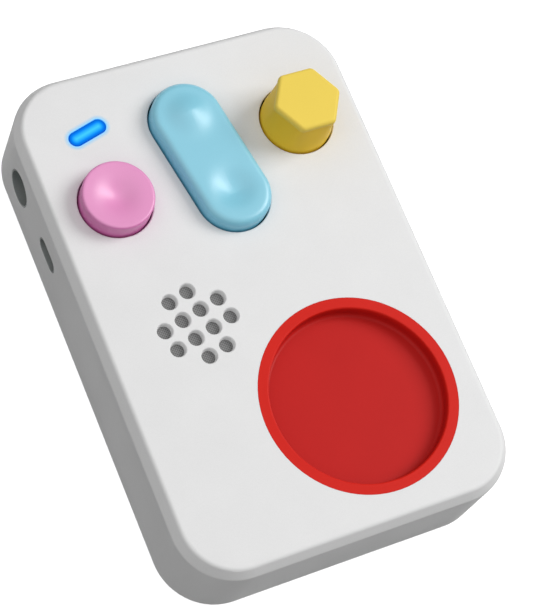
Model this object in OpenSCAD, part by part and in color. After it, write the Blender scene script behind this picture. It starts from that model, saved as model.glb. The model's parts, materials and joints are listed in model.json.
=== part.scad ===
// Audio story player for small children: a white, rounded, palm-sized box that lies on its back.
// Its face carries a play button, a skip rocker with a dish at one end and a bump at the other,
// a volume knob, a light window, a speaker grille and a round well that reads a story figure.
// Frame: +Z out of the face, +Y towards the controls, origin under the middle of the feet.

/* [Body] */
// Width of the body across the face
body_w = 93.1; // [89:0.1:110]
// Length of the body along the face
body_l = 140; // [134:0.5:160]
// Height of the body from its flat back to its face
body_h = 26.5; // [25.5:0.1:34]
// Corner radius of the body seen from above
corner_r = 15.9; // [12:0.1:20]
// Wall thickness of the front shell
wall = 2.4; // [2:0.1:3]
// Width of the slope between the face and the side
slope_w = 2.0; // [1:0.1:3]
// Height of the slope between the face and the side
slope_h = 3.1; // [2:0.1:4]
// Rounding where the slope meets the face
slope_round = 1.4; // [0.6:0.1:1.8]
// Rounding of the bottom edge of the side
base_round = 1.0; // [0.6:0.1:1.4]
// Thickness of the rear cover plate
cover_t = 2.0; // [1.6:0.1:2.6]
// Height that the rubber feet stand out of the back
foot_stand = 1.0; // [0.6:0.1:1.5]
// Radius of a rubber foot
foot_r = 5; // [3.5:0.1:6]

/* [Figure well] */
// Well centre, sideways from the middle of the face
well_x = 12.5; // [11:0.1:13]
// Well centre, from the edge of the face nearest it
well_inset = 34.6; // [34:0.1:35.5]
// Radius of the opening of the well
well_r = 23.55; // [21:0.05:24]
// Width of the flush rim around the well
well_rim = 2.9; // [2.2:0.1:3]
// Depth of the well below the face
well_depth = 4.2; // [4.1:0.1:5.5]
// Thickness of the cup's wall
cup_wall = 1.3; // [1:0.1:1.5]
// Thickness of the cup's floor
cup_floor = 1.6; // [1.4:0.1:2]
// Radius of the magnet under the well
magnet_r = 6; // [4:0.1:8]
// Thickness of the magnet under the well
magnet_t = 3; // [2:0.1:3.5]

/* [Play button] */
// Play button centre, from the side with the sockets
play_inset_x = 18.35; // [17:0.05:19]
// Play button centre, from the control end of the body
play_inset_y = 37.8; // [36:0.1:39]
// Radius of the play button's cap
play_r = 9.5; // [8.5:0.1:10]
// Height of the play button's rim above the face
play_h = 4.8; // [3:0.1:6]
// Depth of the finger dish in the play button
play_dish = 1.6; // [0.6:0.1:2]
// Press on a button's dome that closes its contact
contact_press = 0.7; // [0.5:0.05:0.75]

/* [Skip rocker] */
// Skip rocker centre, sideways
rocker_x = 0; // [-1:0.1:1]
// Skip rocker centre, from the control end of the body
rocker_inset_y = 33.2; // [32:0.1:34]
// Direction of the rocker's long axis, from across the face
rocker_angle = 99.7; // [90:0.1:105]
// Radius of the rocker's round ends
rocker_r = 9.7; // [8.5:0.1:10]
// Half the distance between the centres of the rocker's round ends
rocker_half = 11.9; // [10:0.1:13]
// Height of the rocker above the face
rocker_h = 4.2; // [3:0.1:5]
// Rounding of the rocker's top edge
rocker_round = 1.9; // [0.8:0.1:2.2]
// Radius of the finger dish and of the finger bump on the rocker
rocker_touch_r = 7.2; // [5:0.1:7.5]
// Distance of the finger dish from the rocker's middle
rocker_dish_at = 10.0; // [8:0.1:11.5]
// Distance of the finger bump from the rocker's middle
rocker_bump_at = 11.5; // [8:0.1:11.5]
// Depth of the finger dish at the rocker's end near the well
rocker_dish = 1.3; // [0.6:0.1:1.6]
// Height of the finger bump at the rocker's other end
rocker_bump = 1.3; // [0.6:0.1:1.6]
// Depth of the rocker's pivot below the face
pivot_depth = 4.1; // [3.8:0.1:4.6]
// Radius of the rocker's pivot pin
pin_r = 1.0; // [0.8:0.05:1.2]

/* [Volume knob] */
// Volume knob centre, from the plain side
knob_inset_x = 19.35; // [18:0.05:20]
// Volume knob centre, from the control end of the body
knob_inset_y = 29.0; // [27:0.1:32]
// Radius of the knob's round base
knob_r = 9.7; // [8.5:0.1:10]
// Height of the knob above the face
knob_h = 12.3; // [9:0.1:14]
// Radius through the corners of the knob's six-sided top
knob_hex_r = 9.6; // [8.5:0.1:10]
// Rounding of the edges of the knob's top
knob_round = 1.1; // [0.5:0.1:1.4]
// Radius of the turning shaft
shaft_r = 3.0; // [2.5:0.1:3.2]

/* [Light window] */
// Light window centre, from the side with the sockets
window_inset_x = 18.45; // [17:0.05:19]
// Light window centre, from the control end of the body
window_inset_y = 17.4; // [16:0.1:19]
// Direction of the window's long axis
window_angle = 15.4; // [0:0.1:30]
// Length of the light window
window_l = 11.2; // [9:0.1:12]
// Width of the light window
window_w = 4.2; // [3:0.05:4.5]

/* [Speaker] */
// Speaker centre, sideways
speaker_x = -20.1; // [-21:0.1:-20]
// Speaker centre, along the face
speaker_y = -5.0; // [-6:0.1:-4.5]
// Radius of the speaker
speaker_r = 16; // [14:0.1:16.2]
// Depth of the speaker from its rim to the back of its magnet
speaker_t = 13.6; // [12:0.1:15]
// Radius of each grille hole at the face
grille_r = 2.1; // [1.5:0.01:2.3]
// How much narrower each grille hole is at the inside of the face
grille_taper = 0.4; // [0:0.05:0.5]
// Depth of the pocket behind the grille that holds the mesh
mesh_pocket = 0.85; // [0.4:0.05:1]
// Distance between neighbouring grille holes
grille_pitch = 5.68; // [5.2:0.01:6]
// Direction of the grille's rows
grille_angle = 15; // [0:1:45]
// Grille holes along one side, before its corners are left out
grille_rows = 4; // [3:1:4]

/* [Side sockets] */
// Headphone socket, from the control end of the body
jack_inset_y = 21.9; // [20:0.1:23]
// Depth of the headphone socket's axis below the face
jack_depth = 13.5; // [13:0.1:14]
// Radius of the headphone socket's bore
jack_bore_r = 1.8; // [1.7:0.05:1.9]
// Radius of the plug recess in the side wall
jack_recess_r = 5.25; // [4.5:0.05:5.5]
// Charging socket, from the control end of the body
port_inset_y = 41.9; // [41:0.1:43]
// Depth of the charging socket's axis below the face
port_depth = 12.8; // [12.4:0.1:13]
// Length of the charging slot in the side wall
slot_l = 10.2; // [9.6:0.1:11]
// Height of the charging slot in the side wall
slot_h = 5.2; // [4.8:0.1:5.6]
// Wall of the dark sleeves that line the recess and the slot
sleeve_wall = 0.4; // [0.3:0.1:0.6]

/* [Inside] */
// Depth of the top of the main board below the face
board_depth = 16.1; // [15.9:0.1:16.6]
// Thickness of the main board
board_t = 1.6; // [1:0.1:2]
// Length of the main board, along the body
board_l = 50.9; // [50:0.1:52]
// Length of the battery, across the body
battery_l = 50; // [40:0.5:51]
// Width of the battery, along the body
battery_w = 34; // [28:0.5:35]
// Thickness of the battery
battery_t = 10; // [8:0.1:11]
// Battery centre, sideways
battery_x = 9.5; // [9:0.1:10]
// Battery centre, from the edge of the body nearest it
battery_inset = 32; // [31:0.1:33]
// Radius of a wire's insulation
wire_r = 0.6; // [0.4:0.05:0.7]

/* [Fits] */
// Gap around a cap that moves in a hole of the face
cap_gap = 0.4; // [0.3:0.05:0.6]
// Gap between fixed pieces that drop into each other
seat_gap = 0.1; // [0.05:0.01:0.2]
// Running gap around a turning pin or shaft
run_gap = 0.05; // [0.02:0.01:0.08]
// Gap between a cap's stem and the dome under it
touch_gap = 0.05; // [0.02:0.01:0.1]

/* [Hidden] */
$fn = 64;

eps = 0.02;                             // cutters reach this far past a face
root = 0.5;                             // posts and collars reach this far into the face
back_z = foot_stand;                    // flat back of the body
face_z = back_z + body_h;               // face of the body
roof_z = face_z - wall;                 // inside of the face
floor_z = back_z + cover_t;             // inside of the rear cover
room_w = body_w - 2 * wall;             // clear room inside the side walls
room_l = body_l - 2 * wall;
room_r = corner_r - wall;
low_end = -body_l / 2;                  // end of the body with the well
control_end = body_l / 2;
socket_side = -body_w / 2;
plain_side = body_w / 2;
edge_round = 0.3;                       // broken edge of every opening in the face
side_edge = 0.1;                        // broken edge of the openings in the side wall

// Case screws and the two posts that meet around each of them
post_inset = 9.8;                       // from the outside of the body to a screw
post_x = body_w / 2 - post_inset;
post_y = body_l / 2 - post_inset;
post_r = 3.4;
cover_post_r = post_r + 0.8;
post_split = 2;                         // cover post's height above the cover
case_screw_r = 1.25;
case_screw_depth = 9;
case_head_r = 2.5;
case_head_t = 1.8;
head_sink = 0.4;                        // screw head below the back
lip_t = 1.2;                            // rim lip of the rear cover
lip_h = 2;
foot_inset = 8;                         // from a case screw towards the middle
foot_x = post_x - foot_inset;
foot_y = post_y - foot_inset;
foot_sink = 0.5;                        // foot's pocket in the cover

// Well, reader and magnet, from the cup down
well_y = low_end + well_inset;
rim_t = 1.2;
rim_round = 0.4;
cup_r = well_r + cup_wall;
rim_r = well_r + well_rim;
well_floor_z = face_z - well_depth;
cup_bottom_z = well_floor_z - cup_floor;
reader_t = 1.0;
reader_r = 19.8;
coil_t = 0.4;
coil_in = 14;
coil_out = 18.5;
holder_floor_z = cup_bottom_z - reader_t - coil_t;
holder_floor_t = 1.6;
holder_wall = 1.0;
holder_in = cup_r + 0.25;
holder_flange = 0.6;
holder_flange_t = 1.4;
magnet_seat_t = 1.2;
magnet_z = cup_bottom_z - magnet_t;
magnet_wall = 1.3;
cup_boss_r = 2.2;
cup_boss_at = (reader_r + cup_r) / 2 - 0.1;
cup_boss_angle = 75;                    // first of the three bosses
small_screw_r = 0.95;
small_head_r = 1.9;
small_head_t = 1.2;

// Speaker stack, from the grille down
mesh_t = 0.4;
gasket_t = 2.05;
collar_t = 0.8;
collar_h = 4;
mesh_z = roof_z + mesh_pocket - mesh_t; // back of the mesh
basket_z = mesh_z - gasket_t;           // front of the speaker's rim
basket_t = 0.8;
speaker_z = basket_z - speaker_t;       // back of the speaker's magnet
magnet_ring_r = 9;
magnet_ring_t = 5;
gasket_w = 2.2;
bracket_angle = 47;
bracket_reach = 20;                     // from the speaker's axis to a bracket screw
bracket_w = 8;
bracket_t = 1.6;
bracket_post_r = 2.5;
tab_reach = 12.6;                       // terminal tab, out from the speaker's axis

// Main board and what stands on it
board_z = face_z - board_depth;
board_low_z = board_z - board_t;
board_gap = 1.2;                        // board's edge from the inner wall
board_high_y = room_l / 2 - board_gap;
board_low_y = board_high_y - board_l;
notch_x = post_x - post_r - 0.6;        // board's corners clear the case posts
notch_y = post_y - post_r - 0.6;
board_post_r = 2.4;
screw_edge = 5.2;                       // board screws from the inner side walls
screw_low = 3.9;                        // and from the ends of the board
screw_high = 5.9;
screw_mid = 14.5;
board_screw_at = [[-room_w / 2 + screw_edge, board_low_y + screw_low],
    [room_w / 2 - screw_edge, board_low_y + screw_low],
    [-screw_mid, board_high_y - screw_high], [screw_mid, board_high_y - screw_high]];
board_screw_depth = 5;
led_h = 0.8;
chip_t = 1.2;
processor_at = [-4, board_high_y - 20];
processor_w = 12;
memory_at = [14, board_high_y - 20.4];
memory_w = 8;
memory_l = 10;
amplifier_at = [-22, board_high_y - 30.4];
amplifier_w = 6;
socket_t = 4.4;
socket_w = 7;
socket_l = 6;
plug_t = 3.4;
plug_l = 4;
plug_in = 2.5;
socket_at = [-20.5, 6, 18];             // sockets across the board
socket_y = board_low_y + 1;

// Caps, domes and the rocker's bearing
cap_wall = 1.8;
rocker_skirt = 2.8;                     // rocker's skirt below the face
play_collar_t = 1.2;
play_collar_h = 1.1;
play_flange = 1.0;
play_flange_t = 1.2;
stem_r = 2.6;
dome_h = 6;
dome_r = 5.6;
dome_top_r = 3;
dome_wall = 0.9;
dome_base_t = 1.0;
plunger_r = 1.6;                        // contact under the top of a dome
pad_t = 0.1;
dome_at = 14.5;                         // rocker domes from the rocker's middle
stem_z = board_z + dome_h + touch_gap;  // underside of a stem
play_x = socket_side + play_inset_x;
play_y = control_end - play_inset_y;
rocker_y = control_end - rocker_inset_y;
pivot_z = face_z - pivot_depth;
ear_in = 2.6;
ear_t = 1.8;
lug_gap = 0.3;
lug_t = 2.4;
lug_in = ear_in + ear_t + lug_gap;
bearing_wall = 1.5;
lug_w = 6;
bracket_base_t = 2;                     // rocker bracket's foot on the board
bracket_base_w = 7;
bracket_screw_at = 7.6;                 // its screws from the rocker's middle
bracket_boss_r = 2.1;
bracket_boss_h = 5.5;
bracket_screw_depth = 5;

// Knob and encoder
knob_x = plain_side - knob_inset_x;
knob_y = control_end - knob_inset_y;
encoder_w = 12;
encoder_h = 6.5;
bushing_r = 3.5 + (shaft_r - 3.0);
bushing_h = 4.2;
rotor_r = shaft_r + 1.5;
rotor_t = 1.0;
rotor_z = board_z + 3;
rotor_room = 0.2;
knob_skirt = 3.8;                       // knob's base below the face
knob_hollow_r = knob_r - 2;
knob_roof = 2.4;                        // solid top of the knob
knob_hub_r = shaft_r + 1.6;
knob_socket = 9;                        // shaft's length in the hub
shaft_flat = 0.6;

// Light window
window_x = socket_side + window_inset_x;
window_y = control_end - window_inset_y;
window_flange = 0.9;
window_flange_t = 0.8;
led_w = 3.5;
led_l = 2.8;

// Side sockets
jack_y = control_end - jack_inset_y;
port_y = control_end - port_inset_y;
jack_z = face_z - jack_depth;
port_z = face_z - port_depth;
inner_x = -room_w / 2;                  // inside of the socket side's wall
jack_w = 7;
jack_l = 12;
jack_collar_r = 3.2;
jack_collar_l = 1.0;
jack_bore_l = 11;
port_l = 7.4;
port_w = 8.9;
port_h = 3.2;
port_shell = 0.3;
socket_setback = 0.15;                  // sockets from the inside of the wall
sleeve_flange = 0.7;                    // sleeve's flange behind the wall
sleeve_flange_t = 0.5;
sleeve_l = wall - side_edge;            // sleeve inside the wall, below its rounded mouth
tongue_w = 6.7;
tongue_t = 0.7;
tongue_l = 4.6;

// Battery bay
battery_y = low_end + battery_inset;
tape_t = 0.5;
battery_z = floor_z + tape_t;
battery_top = battery_z + battery_t;
bay_gap = 0.3;
bay_wall = 1.4;
bay_h = 5;
foam_w = 18;
foam_z = magnet_z - magnet_seat_t;      // underside of the magnet's seat

// Wires: routes of one wire of each pair, and the step to the other
plug_z = board_low_z - socket_t / 2;
plug_end_y = socket_y - (plug_l - plug_in);
battery_end_y = battery_y + battery_w / 2;
wire_step = [1.7, 0, 0];
battery_route = [[4, battery_end_y, 8.5], [4, -16, 8.2], [5, -6, 6.2], [6, 4, 5.6],
    [5.2, 11, plug_z], [5.2, plug_end_y, plug_z]];
speaker_route = [[-21.3, speaker_y + tab_reach, speaker_z + magnet_ring_t + 0.4],
    [-21.3, 9.2, speaker_z + 3.2], [-21.3, 11, speaker_z], [-21.3, 12.6, plug_z],
    [-21.3, plug_end_y, plug_z]];
reader_route = [[12, -19.4, holder_floor_z - wire_r - seat_gap], [12, -17.6, 17.6], [13, -11, 13.4],
    [16, 0, 9.2], [17.2, 10, plug_z], [17.2, plug_end_y, plug_z]];

white = [0.93, 0.93, 0.92];
red = [0.80, 0.17, 0.16];
pink = [0.93, 0.60, 0.80];
blue = [0.58, 0.82, 0.90];
yellow = [0.93, 0.82, 0.35];
steel = [0.72, 0.73, 0.75];
black = [0.10, 0.10, 0.11];

// ---------- plain shapes ----------

module ring(r_out, r_in, h) {
    difference() {
        cylinder(r = r_out, h = h);
        translate([0, 0, -eps]) cylinder(r = r_in, h = h + 2 * eps);
    }
}

// Rounded rectangle, flat
module round_rect(w, l, r) {
    square([w - 2 * r, l], center = true);
    square([w, l - 2 * r], center = true);
    for (x = [-1, 1], y = [-1, 1])
        translate([x * (w / 2 - r), y * (l / 2 - r)]) circle(r);
}

// Straight bar with round ends, along X, flat
module stadium(half, r) {
    if (half > 0) square([2 * half, 2 * r], center = true);
    for (x = half > 0 ? [-1, 1] : [0]) translate([x * half, 0]) circle(r);
}

// Bar with round ends, along X, from z = 0 up
module pill(half, r, h) {
    linear_extrude(h) stadium(half, r);
}

// Half outline of a cap with a rounded top edge, from the axis outwards
module cap_outline(r, low, high, round_r) {
    translate([0, low]) square([r, high - low - round_r]);
    translate([0, low]) square([r - round_r, high - low]);
    translate([r - round_r, high - round_r]) circle(round_r);
}

// Bar with round ends and a soft top edge, along X
module soft_pill(half, r, low, high, round_r) {
    for (x = [-1, 1])
        translate([x * half, 0, 0]) rotate_extrude() cap_outline(r, low, high, round_r);
    translate([-half, 0, 0]) rotate([90, 0, 90]) linear_extrude(2 * half) {
        cap_outline(r, low, high, round_r);
        mirror([1, 0]) cap_outline(r, low, high, round_r);
    }
}

// Radius of the ball that sinks a dish of a given radius and depth
function ball_r(r, depth) = (r * r + depth * depth) / (2 * depth);

module dish(r, depth, z) {
    translate([0, 0, z - depth + ball_r(r, depth)]) sphere(r = ball_r(r, depth), $fn = 96);
}

// Top of a ball that stands up from z, its foot sunk a little
module bump(r, high, z) {
    sunk = 0.2;
    intersection() {
        translate([0, 0, z + high - ball_r(r, high)]) sphere(r = ball_r(r, high), $fn = 96);
        translate([0, 0, z - sunk]) cylinder(r = 2 * r, h = high + 1);
    }
}

// Rounding of the corner at b of the path a, b, c: where it starts, its centre, where it stops
function unit(v) = v / norm(v);
function rounding(a, b, c, r) =
    let (u = unit(a - b), v = unit(c - b), half = acos(u * v) / 2)
    [b + u * r / tan(half), b + unit(u + v) * r / sin(half), b + v * r / tan(half)];

// Half section of the body from its middle outwards; reach is the distance to its side
module body_section(reach) {
    low = [reach, back_z];
    side = [reach, face_z - slope_h];
    top = [reach - slope_w, face_z];
    foot = rounding([0, back_z], low, side, base_round);
    waist = rounding(low, side, top, slope_round);
    brow = rounding(side, top, [0, face_z], slope_round);
    polygon([[0, back_z], foot[0], foot[2], waist[0], waist[2], brow[0], brow[2], [0, face_z]]);
    translate(foot[1]) circle(base_round);
    translate(waist[1]) circle(slope_round);
    translate(brow[1]) circle(slope_round);
}

module body_form() {
    flat_w = body_w / 2 - corner_r;
    flat_l = body_l / 2 - corner_r;
    for (x = [-1, 1], y = [-1, 1])
        translate([x * flat_w, y * flat_l, 0]) rotate_extrude() body_section(corner_r);
    for (turn = [0, 180]) rotate([0, 0, turn]) {
        translate([0, flat_l, 0]) rotate([90, 0, 0]) linear_extrude(2 * flat_l)
            body_section(body_w / 2);
        translate([-flat_w, 0, 0]) rotate([90, 0, 90]) linear_extrude(2 * flat_w)
            body_section(body_l / 2);
    }
}

// Places
module at_well() { translate([well_x, well_y, 0]) children(); }
module at_play() { translate([play_x, play_y, 0]) children(); }
module at_rocker() { translate([rocker_x, rocker_y, 0]) rotate([0, 0, rocker_angle]) children(); }
module at_knob() { translate([knob_x, knob_y, 0]) children(); }
module at_window() { translate([window_x, window_y, 0]) rotate([0, 0, window_angle]) children(); }
module at_speaker() { translate([speaker_x, speaker_y, 0]) children(); }
module at_corners(x, y) { for (i = [-1, 1], j = [-1, 1]) translate([i * x, j * y, 0]) children(); }
module at_board_screws() { for (p = board_screw_at) translate([p[0], p[1], 0]) children(); }
module at_bracket_screws() {
    for (s = [-1, 1])
        translate([speaker_x + s * bracket_reach * cos(bracket_angle),
            speaker_y + s * bracket_reach * sin(bracket_angle), 0]) children();
}
module at_bracket_feet() {
    at_rocker() for (s = [-1, 1]) translate([0, s * bracket_screw_at, 0]) children();
}
module at_cup_bosses() {
    at_well() for (i = [0:2]) rotate([0, 0, cup_boss_angle + 120 * i])
        translate([cup_boss_at, 0, 0]) children();
}

// Pan-head screw pointing up, its head's seat at z = 0, with a cross slot
module screw(r, length, head_r, head_t) {
    slot_w = head_r * 0.3;
    difference() {
        translate([0, 0, -head_t]) cylinder(r = head_r, h = head_t);
        for (a = [0, 90]) rotate([0, 0, a])
            translate([-head_r * 0.6, -slot_w / 2, -head_t - eps])
                cube([head_r * 1.2, slot_w, head_t * 0.55]);
    }
    cylinder(r = r, h = length);
}

// ---------- casing ----------

// Grille holes: a square of rows without its four corners
module at_grille_holes() {
    last = grille_rows - 1;
    at_speaker() rotate([0, 0, grille_angle])
        for (i = [0:last], j = [0:last])
            if (!((i == 0 || i == last) && (j == 0 || j == last)))
                translate([(i - last / 2) * grille_pitch, (j - last / 2) * grille_pitch, 0])
                    children();
}

// Rounds the mouth of a hole with round ends whose rim lies at z = 0 and opens upwards
module mouth(half, r, edge = edge_round) {
    for (x = half > 0 ? [-1, 1] : [0])
        translate([x * half, 0, 0]) rotate_extrude() mouth_outline(r, edge);
    if (half > 0)
        translate([-half, 0, 0]) rotate([90, 0, 90]) linear_extrude(2 * half) {
            mouth_outline(r, edge);
            mirror([1, 0]) mouth_outline(r, edge);
        }
}

module mouth_outline(r, edge) {
    difference() {
        translate([0, -edge]) square([r + edge, edge + 1]);
        translate([r + edge, -edge]) circle(edge);
    }
}

module side_hole(y, z) {
    translate([-body_w / 2 - eps, y, z]) rotate([0, 90, 0]) rotate([0, 0, 90]) children();
}

module side_mouth(y, z) {
    translate([-body_w / 2, y, z]) rotate([0, -90, 0]) rotate([0, 0, 90]) children();
}

// Post that hangs from the inside of the face down to a height
module post(r, low) {
    translate([0, 0, low]) cylinder(r = r, h = roof_z - low + root);
}

module front_shell() {
    color(white) difference() {
        union() {
            difference() {
                body_form();
                translate([0, 0, back_z - eps]) linear_extrude(roof_z - back_z + eps)
                    round_rect(room_w, room_l, room_r);
            }
            at_corners(post_x, post_y)
                post(post_r, floor_z + post_split);
            at_board_screws() post(board_post_r, board_z);
            at_bracket_screws() post(bracket_post_r, speaker_z);
            at_speaker() translate([0, 0, roof_z - collar_h])
                ring(speaker_r + seat_gap + collar_t, speaker_r + seat_gap, collar_h + root);
            at_play() translate([0, 0, roof_z - play_collar_h])
                ring(play_r + cap_gap + play_collar_t, play_r + cap_gap, play_collar_h + root);
        }
        at_corners(post_x, post_y)
            translate([0, 0, floor_z])
                cylinder(r = case_screw_r + run_gap, h = post_split + case_screw_depth);
        at_board_screws()
            translate([0, 0, board_z - eps]) cylinder(r = small_screw_r + run_gap, h = board_screw_depth);
        at_bracket_screws()
            translate([0, 0, speaker_z - eps]) cylinder(r = small_screw_r + run_gap, h = board_screw_depth);
        at_well() {
            translate([0, 0, roof_z - 1]) cylinder(r = cup_r + seat_gap, h = wall + 2);
            translate([0, 0, face_z - rim_t]) cylinder(r = rim_r + seat_gap / 2, h = rim_t + 1);
        }
        at_play() translate([0, 0, roof_z - 1]) cylinder(r = play_r + cap_gap, h = wall + 2);
        at_rocker() translate([0, 0, roof_z - 1]) pill(rocker_half, rocker_r + cap_gap, wall + 2);
        at_knob() translate([0, 0, roof_z - 1]) cylinder(r = knob_r + cap_gap, h = wall + 2);
        at_window() translate([0, 0, roof_z - 1])
            pill((window_l - window_w) / 2, window_w / 2 + seat_gap / 2, wall + 2);
        at_grille_holes() {
            translate([0, 0, roof_z - eps])
                cylinder(r1 = grille_r - grille_taper, r2 = grille_r, h = wall + 2 * eps);
            translate([0, 0, face_z]) mouth(0, grille_r);
        }
        at_speaker() translate([0, 0, roof_z - eps])
            cylinder(r = speaker_r + seat_gap, h = mesh_pocket + eps);
        side_hole(jack_y, jack_z) cylinder(r = jack_recess_r, h = wall + 2 * eps);
        side_hole(port_y, port_z) pill((slot_l - slot_h) / 2, slot_h / 2, wall + 2 * eps);
        translate([0, 0, face_z]) {
            at_play() mouth(0, play_r + cap_gap);
            at_rocker() mouth(rocker_half, rocker_r + cap_gap);
            at_knob() mouth(0, knob_r + cap_gap);
        }
        side_mouth(jack_y, jack_z) mouth(0, jack_recess_r, side_edge);
        side_mouth(port_y, port_z) mouth((slot_l - slot_h) / 2, slot_h / 2, side_edge);
    }
}

module rear_cover() {
    plate_w = room_w - 2 * seat_gap;
    plate_l = room_l - 2 * seat_gap;
    plate_r = room_r - seat_gap;
    color(white) difference() {
        union() {
            translate([0, 0, back_z]) linear_extrude(cover_t) round_rect(plate_w, plate_l, plate_r);
            translate([0, 0, back_z]) linear_extrude(cover_t + lip_h) difference() {
                round_rect(plate_w, plate_l, plate_r);
                round_rect(plate_w - 2 * lip_t, plate_l - 2 * lip_t, plate_r - lip_t);
            }
            at_corners(post_x, post_y)
                translate([0, 0, back_z]) cylinder(r = cover_post_r, h = cover_t + post_split);
            translate([battery_x, battery_y, back_z]) linear_extrude(cover_t + bay_h) difference() {
                square([battery_l + 2 * (bay_gap + bay_wall), battery_w + 2 * (bay_gap + bay_wall)],
                    center = true);
                square([battery_l + 2 * bay_gap, battery_w + 2 * bay_gap], center = true);
            }
        }
        at_corners(post_x, post_y) {
            translate([0, 0, back_z - eps])
                cylinder(r = case_screw_r + 0.25, h = cover_t + post_split + 1);
            translate([0, 0, back_z - eps])
                cylinder(r = case_head_r + 0.3, h = case_head_t + head_sink + eps);
        }
        at_corners(foot_x, foot_y)
            translate([0, 0, back_z - eps]) cylinder(r = foot_r + seat_gap, h = foot_sink + eps);
        // way out of the bay for the battery's wires
        translate([battery_route[0][0] - 2, battery_y + battery_w / 2, floor_z + eps])
            cube([wire_step[0] + 4, bay_gap + bay_wall + 1, bay_h + 1]);
    }
}

module rubber_feet() {
    color(black) at_corners(foot_x, foot_y) rotate_extrude() {
        square([foot_r - 0.6, foot_stand + foot_sink]);
        translate([0, 0.6]) square([foot_r, foot_stand + foot_sink - 0.6]);
        translate([foot_r - 0.6, 0.6]) circle(0.6);
    }
}

module case_screws() {
    color(steel) at_corners(post_x, post_y) translate([0, 0, back_z + head_sink + case_head_t])
        screw(case_screw_r, cover_t + post_split - head_sink - case_head_t + case_screw_depth - 0.5,
            case_head_r, case_head_t);
}

// ---------- figure well ----------

module well_cup() {
    color(red) difference() {
        union() {
            at_well() {
                translate([0, 0, cup_bottom_z]) cylinder(r = cup_r, h = face_z - cup_bottom_z);
                translate([0, 0, face_z - rim_t]) cylinder(r = rim_r, h = rim_t);
            }
            at_cup_bosses() translate([0, 0, holder_floor_z])
                cylinder(r = cup_boss_r, h = cup_bottom_z - holder_floor_z + eps);
        }
        at_well() rotate_extrude() {
            translate([0, well_floor_z]) square([well_r - 1, well_depth + 1]);
            translate([0, well_floor_z + 1]) square([well_r, well_depth]);
            translate([well_r - 1, well_floor_z + 1]) circle(1);
            // rounded inner edge of the rim
            difference() {
                translate([0, face_z - rim_round]) square([well_r + rim_round, 1]);
                translate([well_r + rim_round, face_z - rim_round]) circle(rim_round);
            }
        }
        at_cup_bosses() translate([0, 0, holder_floor_z - eps])
            cylinder(r = small_screw_r + run_gap, h = cup_bottom_z - holder_floor_z + cup_floor - 0.5);
    }
}

module well_magnet() {
    color(steel) at_well() translate([0, 0, magnet_z]) cylinder(r = magnet_r, h = magnet_t);
}

module reader_board() {
    color("darkgreen") at_well() translate([0, 0, cup_bottom_z - reader_t])
        ring(reader_r, magnet_r + magnet_wall + 1.5, reader_t);
}

module reader_coil() {
    color("chocolate") at_well() translate([0, 0, cup_bottom_z - reader_t - coil_t])
        ring(coil_out, coil_in, coil_t);
}

module reader_holder() {
    bottom = holder_floor_z - holder_floor_t;
    color("dimgray") difference() {
        at_well() difference() {
            union() {
                translate([0, 0, bottom]) cylinder(r = holder_in + holder_wall, h = roof_z - bottom);
                translate([0, 0, roof_z - holder_flange_t])
                    cylinder(r = holder_in + holder_wall + holder_flange, h = holder_flange_t);
                translate([0, 0, foam_z]) cylinder(r = magnet_r + magnet_wall, h = bottom - foam_z + eps);
            }
            difference() {
                translate([0, 0, holder_floor_z]) cylinder(r = holder_in, h = roof_z);
                // ledge that carries the reader board
                translate([0, 0, holder_floor_z - eps]) ring(coil_in - 1.5, coil_in - 4, coil_t + eps);
            }
            translate([0, 0, magnet_z]) cylinder(r = magnet_r + seat_gap, h = roof_z);
        }
        at_cup_bosses() translate([0, 0, bottom - eps])
            cylinder(r = small_screw_r + 0.2, h = holder_floor_t + 2 * eps);
        // clear of the speaker's collar
        at_speaker() translate([0, 0, roof_z - collar_h - 1])
            cylinder(r = speaker_r + seat_gap + collar_t + 0.2, h = collar_h + 2);
        // slot for the reader's wires
        translate([reader_route[0][0] - 1.2, reader_route[0][1] - 1.2, bottom - 1])
            cube([wire_step[0] + 2.4, 4.6, holder_floor_t + 1 + coil_t]);
    }
}

module holder_screws() {
    color(steel) at_cup_bosses() translate([0, 0, holder_floor_z - holder_floor_t])
        screw(small_screw_r, holder_floor_t + cup_bottom_z - holder_floor_z + cup_floor - 0.8,
            small_head_r, small_head_t);
}

// ---------- light ----------

module status_window() {
    half = (window_l - window_w) / 2;
    color([0.1, 0.5, 1.0]) at_window() {
        translate([0, 0, roof_z - eps]) pill(half, window_w / 2, wall + eps);
        translate([0, 0, roof_z - window_flange_t])
            pill(half, window_w / 2 + window_flange, window_flange_t);
        translate([0, 0, board_z + led_h + seat_gap])
            pill(half / 2, window_w / 2 - 0.4, roof_z - board_z - led_h - seat_gap - 0.4);
    }
}

module status_led() {
    color("lightyellow") at_window() translate([-led_w / 2, -led_l / 2, board_z])
        cube([led_w, led_l, led_h]);
}

// ---------- speaker ----------

module speaker_mesh() {
    color(black) at_speaker() translate([0, 0, mesh_z]) cylinder(r = speaker_r, h = mesh_t);
}

module speaker_gasket() {
    color("gray") at_speaker() translate([0, 0, basket_z]) ring(speaker_r, speaker_r - gasket_w, gasket_t);
}

module speaker_basket() {
    seat_z = speaker_z + magnet_ring_t;
    color(steel) at_speaker() {
        rotate_extrude() polygon([
            [magnet_ring_r - 2, seat_z], [magnet_ring_r, seat_z],
            [speaker_r - 2, basket_z - basket_t], [speaker_r, basket_z - basket_t],
            [speaker_r, basket_z], [speaker_r - 2.4, basket_z],
            [magnet_ring_r - 0.4, seat_z + basket_t], [magnet_ring_r - 2, seat_z + basket_t]]);
        // terminal tab
        translate([-3.5, magnet_ring_r - 1.5, seat_z]) cube([7, tab_reach - magnet_ring_r + 1.5, basket_t]);
    }
}

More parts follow.
